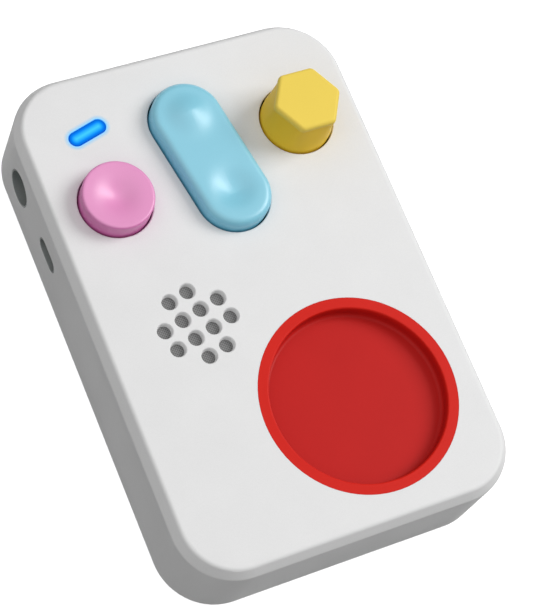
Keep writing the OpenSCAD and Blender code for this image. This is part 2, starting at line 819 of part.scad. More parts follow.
module speaker_cone() {
    seat_z = speaker_z + magnet_ring_t;
    rim = speaker_r - 2.8;
    color("darkslategray") at_speaker() rotate_extrude() polygon([
        [0, seat_z + 3.4], [3.6, seat_z + 2.6], [4.2, seat_z + 0.2], [4.6, seat_z + 0.2],
        [5, seat_z + 2.4], [rim - 3, basket_z - 1.2], [rim - 1.6, basket_z - 0.2],
        [rim, basket_z], [speaker_r - gasket_w, basket_z + 0.3], [rim, basket_z + 0.3],
        [rim - 1.9, basket_z + 0.2], [rim - 3.4, basket_z - 0.8], [4.8, seat_z + 3.1],
        [3.8, seat_z + 3.2], [0, seat_z + 4]]);
}

module speaker_magnet() {
    color("silver") at_speaker() translate([0, 0, speaker_z]) difference() {
        cylinder(r = magnet_ring_r, h = magnet_ring_t);
        translate([0, 0, 1.5]) ring(5, 3.6, magnet_ring_t);
    }
}

module speaker_bracket() {
    color("dimgray") difference() {
        translate([speaker_x, speaker_y, speaker_z - bracket_t]) rotate([0, 0, bracket_angle])
            pill(bracket_reach, bracket_w / 2, bracket_t);
        at_bracket_screws() translate([0, 0, speaker_z - bracket_t - eps])
            cylinder(r = small_screw_r + 0.2, h = bracket_t + 2 * eps);
    }
}

module speaker_screws() {
    color(steel) at_bracket_screws() translate([0, 0, speaker_z - bracket_t])
        screw(small_screw_r, bracket_t + board_screw_depth - 0.5, small_head_r, small_head_t);
}

// ---------- play button ----------

module play_button() {
    skirt_z = roof_z - play_collar_h - touch_gap - play_flange_t;
    top_z = face_z + play_h;
    ceiling_z = top_z - play_dish - cap_wall;
    color(pink) at_play() {
        difference() {
            union() {
                rotate_extrude() cap_outline(play_r, skirt_z, top_z, 0.7);
                translate([0, 0, skirt_z]) cylinder(r = play_r + cap_gap + play_flange, h = play_flange_t);
            }
            dish(play_r - 0.8, play_dish, top_z);
            translate([0, 0, skirt_z - eps]) cylinder(r = play_r - cap_wall, h = ceiling_z - skirt_z);
        }
        translate([0, 0, stem_z]) cylinder(r = stem_r, h = ceiling_z - stem_z + 0.1);
    }
}

// Rubber dome on the board that a stem presses
module dome() {
    translate([0, 0, board_z]) rotate_extrude() polygon([
        [dome_r - dome_wall, 0], [dome_r, 0], [dome_r, dome_base_t],
        [dome_r - dome_wall, dome_base_t], [dome_top_r, dome_h - 1.6], [dome_top_r, dome_h],
        [0, dome_h], [0, contact_press + pad_t], [plunger_r, contact_press + pad_t],
        [plunger_r, dome_h - 2.4], [dome_top_r - dome_wall, dome_h - 2.4],
        [dome_r - 2 * dome_wall, dome_base_t], [dome_r - 2 * dome_wall, 0]]);
}

module play_dome() {
    color("gainsboro") at_play() dome();
}

// ---------- skip rocker ----------

module skip_rocker() {
    top_z = face_z + rocker_h;
    ceiling_z = top_z - rocker_dish - cap_wall;
    skirt_z = face_z - rocker_skirt;
    lug_z = pivot_z - pin_r - bearing_wall;
    color(blue) at_rocker() difference() {
        union() {
            difference() {
                soft_pill(rocker_half, rocker_r, skirt_z, top_z, rocker_round);
                translate([-rocker_dish_at, 0, 0]) dish(rocker_touch_r, rocker_dish, top_z);
                translate([0, 0, skirt_z - eps])
                    pill(rocker_half, rocker_r - cap_wall, ceiling_z - skirt_z);
            }
            translate([rocker_bump_at, 0, 0]) bump(rocker_touch_r, rocker_bump, top_z);
            for (s = [-1, 1]) {
                translate([s * dome_at, 0, stem_z]) cylinder(r = stem_r, h = ceiling_z - stem_z + 0.1);
                translate([-lug_w / 2, s > 0 ? lug_in : -lug_in - lug_t, lug_z])
                    cube([lug_w, lug_t, ceiling_z - lug_z + 0.1]);
            }
        }
        translate([0, rocker_r, pivot_z]) rotate([90, 0, 0])
            cylinder(r = pin_r + run_gap, h = 2 * rocker_r);
    }
}

module rocker_pin() {
    half = lug_in + lug_t - 0.2;
    color(steel) at_rocker() translate([0, half, pivot_z]) rotate([90, 0, 0])
        cylinder(r = pin_r, h = 2 * half);
}

module rocker_bracket() {
    ear_top = pivot_z + pin_r + bearing_wall;
    ear_w = lug_w - 1;
    color("dimgray") difference() {
        union() {
            at_rocker() {
                translate([0, 0, board_z]) rotate([0, 0, 90])
                    pill(bracket_screw_at, bracket_base_w / 2, bracket_base_t);
                for (s = [-1, 1])
                    translate([-ear_w / 2, s > 0 ? ear_in : -ear_in - ear_t, board_z])
                        cube([ear_w, ear_t, ear_top - board_z]);
            }
            at_bracket_feet() translate([0, 0, board_z]) cylinder(r = bracket_boss_r, h = bracket_boss_h);
        }
        at_rocker() translate([0, ear_in + ear_t + 1, pivot_z]) rotate([90, 0, 0])
            cylinder(r = pin_r + 0.01, h = 2 * (ear_in + ear_t + 1));
        at_bracket_feet() translate([0, 0, board_z - eps])
            cylinder(r = small_screw_r + run_gap, h = bracket_screw_depth + eps);
    }
}

module rocker_screws() {
    color(steel) at_bracket_feet() translate([0, 0, board_low_z])
        screw(small_screw_r, board_t + bracket_screw_depth - 0.5, small_head_r, small_head_t);
}

module rocker_dome_next() {
    color("gainsboro") at_rocker() translate([dome_at, 0, 0]) dome();
}

module rocker_dome_back() {
    color("gainsboro") at_rocker() translate([-dome_at, 0, 0]) dome();
}

// ---------- volume knob ----------

shaft_top = face_z + knob_h - knob_roof - 0.3;
hub_bottom = shaft_top - knob_socket;

module shaft_section(gap) {
    difference() {
        circle(shaft_r + gap);
        translate([shaft_r - shaft_flat + gap, -shaft_r - 1]) square(2 * shaft_r + 2);
    }
}

module volume_knob() {
    base_z = face_z - knob_skirt;
    top_z = face_z + knob_h;
    corner_at = knob_hex_r - knob_round / cos(30);
    color(yellow) at_knob() difference() {
        union() {
            translate([0, 0, base_z]) cylinder(r = knob_r, h = knob_skirt + 1.6);
            hull() {
                translate([0, 0, face_z + 1.2]) cylinder(r = knob_r, h = 0.4, $fn = 60);
                for (i = [0:5]) rotate([0, 0, 60 * i])
                    translate([corner_at, 0, top_z - knob_round]) sphere(r = knob_round, $fn = 24);
            }
        }
        difference() {
            translate([0, 0, base_z - eps]) cylinder(r = knob_hollow_r, h = top_z - knob_roof - base_z);
            translate([0, 0, hub_bottom]) cylinder(r = knob_hub_r, h = top_z);
        }
        translate([0, 0, hub_bottom - eps]) linear_extrude(knob_socket + 0.3) shaft_section(0.02);
    }
}

module encoder_shaft() {
    color(steel) at_knob() {
        translate([0, 0, rotor_z]) cylinder(r = rotor_r, h = rotor_t);
        translate([0, 0, rotor_z]) cylinder(r = shaft_r, h = hub_bottom - rotor_z - 0.5);
        translate([0, 0, hub_bottom - 0.6]) linear_extrude(knob_socket + 0.6) shaft_section(0);
    }
}

module encoder_body() {
    color(black) at_knob() difference() {
        union() {
            translate([-encoder_w / 2, -encoder_w / 2, board_z]) cube([encoder_w, encoder_w, encoder_h]);
            translate([0, 0, board_z + encoder_h - eps]) cylinder(r = bushing_r, h = bushing_h);
        }
        translate([0, 0, rotor_z]) cylinder(r = shaft_r + run_gap, h = encoder_h + bushing_h);
        translate([0, 0, rotor_z - rotor_room])
            cylinder(r = rotor_r + rotor_room, h = rotor_t + 2 * rotor_room);
    }
}

// ---------- main board ----------

module main_board() {
    w = room_w - 2 * board_gap;
    color("darkgreen") difference() {
        translate([-w / 2, board_low_y, board_low_z]) cube([w, board_l, board_t]);
        for (i = [-1, 1])
            translate([i > 0 ? notch_x : -w / 2 - 1, notch_y, board_low_z - eps])
                cube([w / 2 - notch_x + 1, board_high_y - notch_y + 1, board_t + 2 * eps]);
        at_board_screws() translate([0, 0, board_low_z - eps])
            cylinder(r = small_screw_r + 0.2, h = board_t + 2 * eps);
        at_bracket_feet() translate([0, 0, board_low_z - eps])
            cylinder(r = small_screw_r + 0.2, h = board_t + 2 * eps);
    }
}

module contact_pads() {
    color("gold") {
        at_play() translate([0, 0, board_z]) cylinder(r = 3, h = pad_t);
        for (s = [-1, 1]) at_rocker() translate([s * dome_at, 0, board_z]) cylinder(r = 3, h = pad_t);
    }
}

module chip(at, w, l) {
    color(black) translate([at[0] - w / 2, at[1] - l / 2, board_low_z - chip_t]) cube([w, l, chip_t]);
}

module processor_chip() { chip(processor_at, processor_w, processor_w); }
module memory_chip() { chip(memory_at, memory_w, memory_l); }
module amplifier_chip() { chip(amplifier_at, amplifier_w, amplifier_w); }

module board_sockets() {
    color("ivory") for (x = socket_at) difference() {
        translate([x - socket_w / 2, socket_y, board_low_z - socket_t]) cube([socket_w, socket_l, socket_t]);
        translate([x - socket_w / 2 + 0.8, socket_y - eps, plug_z - plug_t / 2 - 0.05])
            cube([socket_w - 1.6, plug_in + 0.1, plug_t + 0.1]);
    }
}

module lead_plugs() {
    color("white") for (x = socket_at)
        translate([x - socket_w / 2 + 0.85, plug_end_y, plug_z - plug_t / 2])
            cube([socket_w - 1.7, plug_l, plug_t]);
}

module board_screws() {
    color(steel) at_board_screws() translate([0, 0, board_low_z])
        screw(small_screw_r, board_t + board_screw_depth - 0.5, small_head_r, small_head_t);
}

// ---------- side sockets ----------

module headphone_jack() {
    front = inner_x + socket_setback;
    color(black) difference() {
        union() {
            translate([front + jack_collar_l, jack_y - jack_w / 2, board_z])
                cube([jack_l - jack_collar_l, jack_w, jack_z - board_z + 2.8]);
            translate([front, jack_y, jack_z]) rotate([0, 90, 0])
                cylinder(r = min(jack_collar_r, jack_z - board_z + 0.6), h = jack_collar_l + eps);
        }
        translate([front - eps, jack_y, jack_z]) rotate([0, 90, 0])
            cylinder(r = jack_bore_r, h = jack_bore_l);
    }
}

module port_section(w, h) {
    stadium((w - h) / 2, h / 2);
}

module charging_port() {
    front = inner_x + socket_setback;
    color(steel) {
        translate([front, port_y, port_z]) rotate([0, 90, 0]) rotate([0, 0, 90]) difference() {
            linear_extrude(port_l) port_section(port_w, port_h);
            translate([0, 0, -eps]) linear_extrude(port_l - 1)
                port_section(port_w - 2 * port_shell, port_h - 2 * port_shell);
        }
        // plinth between the shell and the board
        translate([front + 1.4, port_y - port_w / 2 + 1.6, board_z])
            cube([port_l - 1.4, port_w - 3.2, port_z - port_h / 2 - board_z + port_shell / 2]);
    }
}

module port_tongue() {
    front = inner_x + socket_setback;
    color(black) translate([front + port_l - 1 - tongue_l, port_y - tongue_w / 2, port_z - tongue_t / 2])
        cube([tongue_l - eps, tongue_w, tongue_t]);
}

// Sleeve with round ends along Z, its visible end at z = 0, its flange at the other end
module sleeve(half, r) {
    outside = r - seat_gap / 2;
    difference() {
        union() {
            pill(half, outside, sleeve_l);
            translate([0, 0, sleeve_l]) pill(half, outside + sleeve_flange, sleeve_flange_t);
        }
        translate([0, 0, -eps]) pill(half, outside - sleeve_wall, sleeve_l + sleeve_flange_t + 2 * eps);
    }
}

module recess_sleeve() {
    color(black) side_hole(jack_y, jack_z)
        translate([0, 0, side_edge + eps]) sleeve(0, jack_recess_r);
}

module slot_sleeve() {
    color(black) side_hole(port_y, port_z)
        translate([0, 0, side_edge + eps]) sleeve((slot_l - slot_h) / 2, slot_h / 2);
}

// ---------- battery ----------

module battery_cell() {
    edge = battery_t / 2 - 1;
    color("silver") translate([battery_x, battery_y, battery_z + battery_t / 2]) rotate([90, 0, 0])
        linear_extrude(battery_w, center = true) round_rect(battery_l, battery_t, edge);
}

module battery_tape() {
    color("lightyellow") translate([battery_x - battery_l / 2 + 6, battery_y - battery_w / 2 + 2, floor_z])
        cube([battery_l - 12, battery_w - 4, tape_t]);
}

module battery_foam() {
    color("darkslategray") translate([well_x - foam_w / 2, well_y - foam_w / 2, battery_top])
        cube([foam_w, foam_w, foam_z - battery_top]);
}

// ---------- wires ----------

// Smooth line through a route's points, with steps points per stretch
function spline_point(a, b, c, d, t) = 0.5 * (2 * b + (c - a) * t
    + (2 * a - 5 * b + 4 * c - d) * t * t + (3 * b - a - 3 * c + d) * t * t * t);
function smooth(p, steps) = concat([for (i = [0:len(p) - 2], s = [0:steps - 1])
        spline_point(p[max(i - 1, 0)], p[i], p[i + 1], p[min(i + 2, len(p) - 1)], s / steps)],
    [p[len(p) - 1]]);
function heading(p, i) = unit(p[min(i + 1, len(p) - 1)] - p[max(i - 1, 0)]);

// Round tube along a line; both ends are cut square to the body's length
module tube(line, r) {
    sides = 8;
    last = len(line) - 1;
    points = [for (i = [0:last]) let (t = i == 0 || i == last ? [0, 1, 0] : heading(line, i),
            across = unit(cross(t, [0, 0, 1])), up = cross(across, t))
        for (k = [0:sides - 1]) line[i] + r * (cos(360 * k / sides) * across + sin(360 * k / sides) * up)];
    faces = concat([[for (k = [0:sides - 1]) k]],
        [for (i = [0:last - 1], k = [0:sides - 1]) let (n = (k + 1) % sides)
            [i * sides + k, (i + 1) * sides + k, (i + 1) * sides + n, i * sides + n]],
        [[for (k = [sides - 1:-1:0]) last * sides + k]]);
    polyhedron(points, faces);
}

module wire_pair(route) {
    for (s = [0, 1]) translate(s * wire_step) tube(smooth(route, 4), wire_r);
}

module battery_lead() { color("firebrick") wire_pair(battery_route); }
module speaker_lead() { color("navy") wire_pair(speaker_route); }
module reader_lead() { color("darkgreen") wire_pair(reader_route); }

// ---------- assembly ----------

front_shell();
rear_cover();
rubber_feet();
case_screws();
well_cup();
well_magnet();
reader_board();
reader_coil();
reader_holder();
holder_screws();
status_window();
status_led();
speaker_mesh();
speaker_gasket();
speaker_basket();
speaker_cone();
speaker_magnet();
speaker_bracket();
speaker_screws();
play_button();
play_dome();
skip_rocker();
rocker_pin();
rocker_bracket();
rocker_screws();
rocker_dome_next();
rocker_dome_back();
volume_knob();
encoder_shaft();
encoder_body();
main_board();
contact_pads();
processor_chip();
memory_chip();
amplifier_chip();
board_sockets();
lead_plugs();
board_screws();
headphone_jack();
charging_port();
port_tongue();
recess_sleeve();
slot_sleeve();
battery_cell();
battery_tape();
battery_foam();
battery_lead();
speaker_lead();
reader_lead();
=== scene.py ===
# %% [markdown]
# # An audio story player for small children
# The object is a white palm-sized box that lies on its back. Its face carries a pink play
# button, a blue skip rocker, a yellow volume knob, a small blue light, a speaker grille and a
# red well that reads a story figure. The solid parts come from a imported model, the frame.
# This lesson dresses that frame: most solids keep their shape and get a finish made of nodes,
# and the pieces that a hand touches are modelled again with softer forms.

# %% Load the frame
import json
import math
import bpy
from mathutils import Matrix, Vector


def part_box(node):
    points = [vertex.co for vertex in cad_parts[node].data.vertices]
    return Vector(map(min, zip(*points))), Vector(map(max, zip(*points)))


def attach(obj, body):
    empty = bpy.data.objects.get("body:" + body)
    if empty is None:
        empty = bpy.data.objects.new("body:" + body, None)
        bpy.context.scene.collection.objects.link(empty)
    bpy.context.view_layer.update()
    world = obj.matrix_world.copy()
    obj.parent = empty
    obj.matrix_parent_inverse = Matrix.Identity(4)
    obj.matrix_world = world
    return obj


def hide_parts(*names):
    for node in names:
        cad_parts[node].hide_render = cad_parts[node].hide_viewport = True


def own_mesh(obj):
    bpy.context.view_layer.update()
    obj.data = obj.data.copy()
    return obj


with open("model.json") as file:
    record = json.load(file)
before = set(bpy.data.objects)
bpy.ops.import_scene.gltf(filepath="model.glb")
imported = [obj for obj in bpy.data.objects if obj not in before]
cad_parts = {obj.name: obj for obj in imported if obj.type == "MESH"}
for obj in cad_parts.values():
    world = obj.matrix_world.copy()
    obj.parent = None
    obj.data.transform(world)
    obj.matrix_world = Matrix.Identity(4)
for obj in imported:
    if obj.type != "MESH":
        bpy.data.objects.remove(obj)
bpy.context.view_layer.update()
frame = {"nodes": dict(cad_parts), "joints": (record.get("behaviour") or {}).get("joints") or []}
MM = 0.001


def in_mm(values):
    """Lengths in millimetres, rounded for printing."""
    return [round(value / MM, 2) for value in values]


# %% [markdown]
# ## Sizes
# Every place is worked out from the frame, so a piece lands where its solid is. The box of
# the part below each control gives the control's middle. What a box can't tell, such as how
# deep a thumb mark is, is a named value in metres, written as millimetres times MM.

# %% Places taken from the frame
_, shell_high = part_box("front_shell")
FACE = shell_high.z


def middle(node):
    """Middle of a solid's box, seen from above."""
    low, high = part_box(node)
    return Vector(((low.x + high.x) / 2, (low.y + high.y) / 2, 0))


PLAY_AT = middle("play_dome")
ROCKER_AT = (middle("rocker_dome_next") + middle("rocker_dome_back")) / 2
KNOB_AT = middle("encoder_shaft")
WINDOW_AT = middle("status_led")
WELL_AT = middle("well_magnet")
print("face and middle of the knob in mm:", in_mm((FACE, *KNOB_AT.xy)))

# %% [markdown]
# ## Small helpers for edit mode
# An operator acts on everything that is selected, so each step first says exactly what it
# works on. `choose` picks points, edges or faces by their place, the way you would box-select
# them by hand, and leaves the piece open in edit mode for the operators that follow.

# %% Helpers for edit mode
NEAR = 0.01 * MM


def edit_mode(on):
    bpy.ops.object.mode_set(mode="EDIT" if on else "OBJECT")


def choose(piece, kind, test):
    """Selects only the points, edges or faces of a piece whose place passes the test."""
    edit_mode(True)
    bpy.ops.mesh.select_mode(type=kind)
    bpy.ops.mesh.select_all(action="DESELECT")
    edit_mode(False)
    mesh = piece.data
    if kind == "VERT":
        for point in mesh.vertices:
            point.select = test(point.co)
    elif kind == "EDGE":
        for edge in mesh.edges:
            edge.select = all(test(mesh.vertices[i].co) for i in edge.vertices)
    else:
        for face in mesh.polygons:
            face.select = test(face.center)
    edit_mode(True)


def extrude(step):
    bpy.ops.mesh.extrude_region_move(TRANSFORM_OT_translate={"value": step})


def face_outwards():
    """Selects the whole mesh and turns its faces outwards."""
    bpy.ops.mesh.select_all(action="SELECT")
    bpy.ops.mesh.normals_make_consistent(inside=False)


# %% [markdown]
# ## Small helpers for whole pieces
# Every piece is made at the middle of the world, where its sizes are easy to read. `set_down`
# then moves and turns it to its place and applies that, so the finished object sits at the
# origin with its place in its mesh. `smooth` shades it softly but keeps its sharp edges.

# %% Helpers for whole pieces
def new_piece(name):
    """Names the primitive that was just added."""
    piece = bpy.context.object
    piece.name = name
    piece.data.name = name
    return piece


def select_only(piece):
    bpy.ops.object.select_all(action="DESELECT")
    piece.select_set(True)
    bpy.context.view_layer.objects.active = piece


def apply_place():
    """Moves the place, turn and size of the selected object into its mesh."""
    bpy.ops.object.transform_apply(location=True, rotation=True, scale=True)


def set_down(piece, place, turn=0.0):
    """Puts a piece made at the world's middle in its place and applies that."""
    piece.location = place
    piece.rotation_euler = (0, 0, turn)
    select_only(piece)
    apply_place()


def smooth(piece, angle=35):
    """Smooth shading that keeps the edges sharper than an angle, even beside wide flats."""
    select_only(piece)
    bpy.ops.object.shade_smooth_by_angle(angle=math.radians(angle))
    weigh = piece.modifiers.new("even shading", "WEIGHTED_NORMAL")
    weigh.keep_sharp = True
    bpy.ops.object.modifier_apply(modifier=weigh.name)


# %% [markdown]
# ## A lathe
# A round piece is easiest to make as on a lathe: its half outline is drawn from the axis
# outwards and spun round. The outline starts as one point, a plane merged at its centre, and
# each next point is an extrusion. After the spin, the double points on the axis and at the
# seam are merged and the faces are turned outwards.

# %% A lathe made of spin
LATHE_STEPS = 96
WELD = 0.004 * MM


def arc(centre_r, centre_z, radius, first, last, steps=6):
    """Points of an arc in a half outline, with angles in degrees from straight out."""
    angles = [math.radians(first + (last - first) * i / steps) for i in range(steps + 1)]
    return [(centre_r + radius * math.cos(a), centre_z + radius * math.sin(a)) for a in angles]


def lathe(name, outline, steps=LATHE_STEPS):
    """Turns a half outline of (distance from the axis, height) points round the upright axis."""
    bpy.ops.object.select_all(action="DESELECT")
    bpy.ops.mesh.primitive_plane_add(size=MM, location=(0, 0, 0))
    piece = new_piece(name)
    edit_mode(True)
    bpy.ops.mesh.select_mode(type="VERT")
    bpy.ops.mesh.select_all(action="SELECT")
    bpy.ops.mesh.merge(type="CENTER")
    bpy.ops.transform.translate(value=(outline[0][0], 0, outline[0][1]))
    for here, there in zip(outline, outline[1:]):
        extrude((there[0] - here[0], 0, there[1] - here[1]))
    bpy.ops.mesh.select_all(action="SELECT")
    bpy.ops.mesh.spin(steps=steps, angle=math.tau, center=(0, 0, 0), axis=(0, 0, 1))
    bpy.ops.mesh.select_all(action="SELECT")
    bpy.ops.mesh.remove_doubles(threshold=WELD)
    face_outwards()
    edit_mode(False)
    return piece


# %% [markdown]
# ## Play button
# The pink button is a round cap with a soft thumb dish. The dish is deepest in the middle and
# fades out before the rim, like the bell of a smooth curve, so its height follows such a
# curve and not a ball. Below the face the cap has a flange that keeps it from falling out,
# and a stem that reaches its rubber dome.

# %% Play button on the lathe
play_low, play_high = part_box("play_button")
PLAY_R = 9.5 * MM
PLAY_EDGE = 0.7 * MM
PLAY_DISH = 1.9 * MM
PLAY_DISH_SPREAD = 4.3 * MM
PLAY_FLANGE_R = 10.9 * MM
PLAY_FLANGE_LOW = 22.75 * MM
PLAY_FLANGE_HIGH = 23.95 * MM
PLAY_BORE_R = 7.7 * MM
PLAY_ROOF = 28.9 * MM
STEM_R = 2.6 * MM
DISH_RINGS = 18


def play_outline():
    """Half outline of the play button, from the middle of its dish to its stem."""
    flat_r = PLAY_R - PLAY_EDGE
    top = play_high.z
    points = []
    for i in range(DISH_RINGS):
        r = flat_r * i / DISH_RINGS
        points.append((r, top - PLAY_DISH * math.exp(-(r / PLAY_DISH_SPREAD) ** 2)))
    points += arc(flat_r, top - PLAY_EDGE, PLAY_EDGE, 90, 0)
    points += [(PLAY_R, PLAY_FLANGE_HIGH), (PLAY_FLANGE_R, PLAY_FLANGE_HIGH),
               (PLAY_FLANGE_R, PLAY_FLANGE_LOW), (PLAY_BORE_R, PLAY_FLANGE_LOW),
               (PLAY_BORE_R, PLAY_ROOF), (STEM_R, PLAY_ROOF), (STEM_R, play_low.z),
               (0, play_low.z)]
    return points


play_cap = lathe("play_cap", play_outline())
set_down(play_cap, PLAY_AT)
smooth(play_cap)
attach(play_cap, "play")
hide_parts("play_button")
print("play cap:", len(play_cap.data.polygons), "faces")

# %% [markdown]
# ## A blank with round ends
# The light window is a straight bar with round ends, and so is the light guide below it. A
# circle is pulled apart into two halves, its long sides are divided, and it is filled and
# extruded upwards.

# %% A blank with round ends
SIDE_LONG = 0.2
SIDE_WIDE = 0.99


def pull_apart(piece, half):
    """Moves the two halves of a round piece apart along X."""
    for side in (-1, 1):
        choose(piece, "VERT", lambda place: place.x * side > NEAR)
        bpy.ops.transform.translate(value=(side * half, 0, 0))


def pill_blank(name, half, radius, low, high, around, cuts):
    """A bar with round ends along X, from one height to another."""
    bpy.ops.object.select_all(action="DESELECT")
    bpy.ops.mesh.primitive_circle_add(vertices=around, radius=radius, location=(0, 0, 0))
    piece = new_piece(name)
    pull_apart(piece, half)
    choose(piece, "EDGE", lambda place: abs(place.x) < half + radius * SIDE_LONG
           and abs(place.y) > radius * SIDE_WIDE)
    bpy.ops.mesh.subdivide(number_cuts=cuts)
    bpy.ops.mesh.select_all(action="SELECT")
    bpy.ops.mesh.edge_face_add()
    bpy.ops.transform.translate(value=(0, 0, low))
    extrude((0, 0, high - low))
    face_outwards()
    edit_mode(False)
    return piece


# %% [markdown]
# ## Edges and joins
# Some edges are easier to tell by their two ends than by their place, such as the long ones.
# The edges that are meant to be soft are beveled with a few segments. A boolean joins two
# meshes into one closed mesh, or cuts one with the other.

# %% Helpers for edges and joins
OVERLAP = 0.3 * MM


def choose_edges(piece, test):
    """Selects only the edges whose two ends pass the test together."""
    choose(piece, "EDGE", lambda place: False)
    edit_mode(False)
    points = piece.data.vertices
    for edge in piece.data.edges:
        edge.select = test(points[edge.vertices[0]].co, points[edge.vertices[1]].co)
    edit_mode(True)


def round_edges(piece, radius, segments, test):
    """Rounds the edges that pass a test."""
    choose(piece, "EDGE", test)
    bpy.ops.mesh.bevel(offset=radius, segments=segments, affect="EDGES")
    edit_mode(False)


def unite(piece, tool, how="UNION"):
    """Adds another mesh to a piece, or cuts it away, and removes the other mesh."""
    union = piece.modifiers.new("union", "BOOLEAN")
    union.operation = how
    union.object = tool
    union.solver = "EXACT"
    select_only(piece)
    bpy.ops.object.modifier_apply(modifier=union.name)
    bpy.data.objects.remove(tool)


# %% [markdown]
# ## Skip rocker
# The blue rocker tips to skip forwards or back. Its top edge is generously rounded. The end
# near the well has a thumb dish and the other end a thumb bump, so a child can tell them
# apart by touch. It starts as a round cap from the lathe with a pinhole in its middle, whose
# halves are pulled apart. The stretched sides are then divided, and the pinhole, which is now
# a slot, is closed with a face above and one below.

# %% Skip rocker from a stretched cap
rocker_run = middle("rocker_dome_next") - middle("rocker_dome_back")
ROCKER_TURN = math.atan2(rocker_run.y, rocker_run.x)
ROCKER_HALF = 11.9 * MM
ROCKER_R = 9.7 * MM
ROCKER_TOP = 31.7 * MM
ROCKER_SKIRT = 24.7 * MM
ROCKER_EDGE = 2.0 * MM
ROCKER_WALL = 1.8 * MM
ROCKER_ROOF = 28.6 * MM
TOP_RINGS = 14
SIDE_CUTS = 11
PINHOLE_R = 0.3 * MM


def rocker_outline():
    """Half outline of one end of the rocker, from its pinhole over the rim to the inside."""
    flat_r = ROCKER_R - ROCKER_EDGE
    step = (flat_r - PINHOLE_R) / TOP_RINGS
    points = [(PINHOLE_R + step * i, ROCKER_TOP) for i in range(TOP_RINGS)]
    points += arc(flat_r, ROCKER_TOP - ROCKER_EDGE, ROCKER_EDGE, 90, 0, steps=8)
    points += [(ROCKER_R, ROCKER_SKIRT), (ROCKER_R - ROCKER_WALL, ROCKER_SKIRT),
               (ROCKER_R - ROCKER_WALL, ROCKER_ROOF), (PINHOLE_R, ROCKER_ROOF)]
    return points


skip_cap = lathe("skip_cap", rocker_outline())
pull_apart(skip_cap, ROCKER_HALF)
choose_edges(skip_cap, lambda first, second: abs(first.x - second.x) > 0.9 * ROCKER_HALF)
bpy.ops.mesh.subdivide(number_cuts=SIDE_CUTS)
for height in (ROCKER_TOP, ROCKER_ROOF):
    choose(skip_cap, "EDGE", lambda place: abs(place.z - height) < NEAR
           and abs(place.y) < 1.01 * PINHOLE_R
           and abs(place.x) < ROCKER_HALF + 1.01 * PINHOLE_R)
    bpy.ops.mesh.edge_face_add()
    bpy.ops.mesh.quads_convert_to_tris(ngon_method="BEAUTY")
face_outwards()
edit_mode(False)
print("rocker blank:", len(skip_cap.data.polygons), "faces")

# %% [markdown]
# ## Thumb dish and thumb bump
# The dish is pressed in and the bump is pulled up with proportional editing, which fades out
# smoothly. A satin gloss shows every unevenness, so the points inside the rim are smoothed a
# little at the end.

# %% Dish and bump of the rocker
_, rocker_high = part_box("skip_rocker")
DISH_AT = -11.0 * MM
DISH_DEPTH = 1.8 * MM
BUMP_AT = 12.0 * MM
BUMP_HEIGHT = 1.7 * MM
TOUCH_SPREAD = 6.8 * MM
TOUCH_PICK = 0.7 * MM
TOP_SOFTENING = 8
RIM_MARGIN = 0.3 * MM


def inside_rim(place):
    """Tells the points of the rocker's top that lie well inside its rounded edge."""
    past = max(abs(place.x) - ROCKER_HALF, 0)
    inside = math.hypot(past, place.y) < ROCKER_R - ROCKER_EDGE - RIM_MARGIN
    return inside and place.z > ROCKER_ROOF + RIM_MARGIN


for touch_at, lift in ((DISH_AT, -DISH_DEPTH), (BUMP_AT, BUMP_HEIGHT)):
    spot = Vector((touch_at, 0, ROCKER_TOP))
    choose(skip_cap, "VERT", lambda place: (place - spot).length < TOUCH_PICK)
    bpy.ops.transform.translate(value=(0, 0, lift), use_proportional_edit=True,
                                use_proportional_connected=True,
                                proportional_edit_falloff="SMOOTH",
                                proportional_size=TOUCH_SPREAD)
choose(skip_cap, "VERT", inside_rim)
bpy.ops.mesh.vertices_smooth(factor=0.5, repeat=TOP_SOFTENING)
edit_mode(False)
heights = [point.co.z for point in skip_cap.data.vertices]
print("rocker top and the CAD top in mm:", in_mm((max(heights), rocker_high.z)))

# %% [markdown]
# ## Under the rocker
# Two stems press the domes on the board and two lugs carry the pivot pin. They are joined to
# the cap with a boolean, so that the piece stays one closed mesh.

# %% Stems and lugs
STEM_AT = 14.5 * MM
STEM_EDGE = 0.3 * MM
LUG_SIZE = Vector((6, 2.4, 8)) * MM
LUG_LOW = 20.9 * MM
LUG_AT = 5.9 * MM
LUG_EDGE = 0.6 * MM
PIVOT_Z = 23.4 * MM
PIN_HOLE_R = 1.05 * MM


def rocker_stem(x):
    """A short round stem with a broken lower edge, as low as the play button's."""
    low = play_low.z
    high = ROCKER_ROOF + OVERLAP
    bpy.ops.object.select_all(action="DESELECT")
    bpy.ops.mesh.primitive_cylinder_add(vertices=48, radius=STEM_R, depth=high - low,
                                        location=(x, 0, (low + high) / 2))
    stem = new_piece("stem")
    apply_place()
    round_edges(stem, STEM_EDGE, 3, lambda place: place.z < low + NEAR)
    return stem


def rocker_lug(y):
    """One lug of the rocker, which carries the pin."""
    bpy.ops.object.select_all(action="DESELECT")
    bpy.ops.mesh.primitive_cube_add(size=1, location=(0, y, LUG_LOW + LUG_SIZE.z / 2))
    lug = new_piece("lug")
    lug.scale = LUG_SIZE
    apply_place()
    round_edges(lug, LUG_EDGE, 4, lambda place: place.z < LUG_LOW + NEAR)
    return lug


for side in (-1, 1):
    unite(skip_cap, rocker_stem(side * STEM_AT))
    unite(skip_cap, rocker_lug(side * LUG_AT))
bpy.ops.object.select_all(action="DESELECT")
bpy.ops.mesh.primitive_cylinder_add(vertices=32, radius=PIN_HOLE_R,
                                    depth=2 * ROCKER_R - 2 * ROCKER_WALL,
                                    location=(0, 0, PIVOT_Z), rotation=(math.pi / 2, 0, 0))
unite(skip_cap, new_piece("pin_hole"), "DIFFERENCE")
set_down(skip_cap, ROCKER_AT, ROCKER_TURN)
smooth(skip_cap)
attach(skip_cap, "rocker")
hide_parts("skip_rocker")
print("skip cap:", len(skip_cap.data.polygons), "faces")

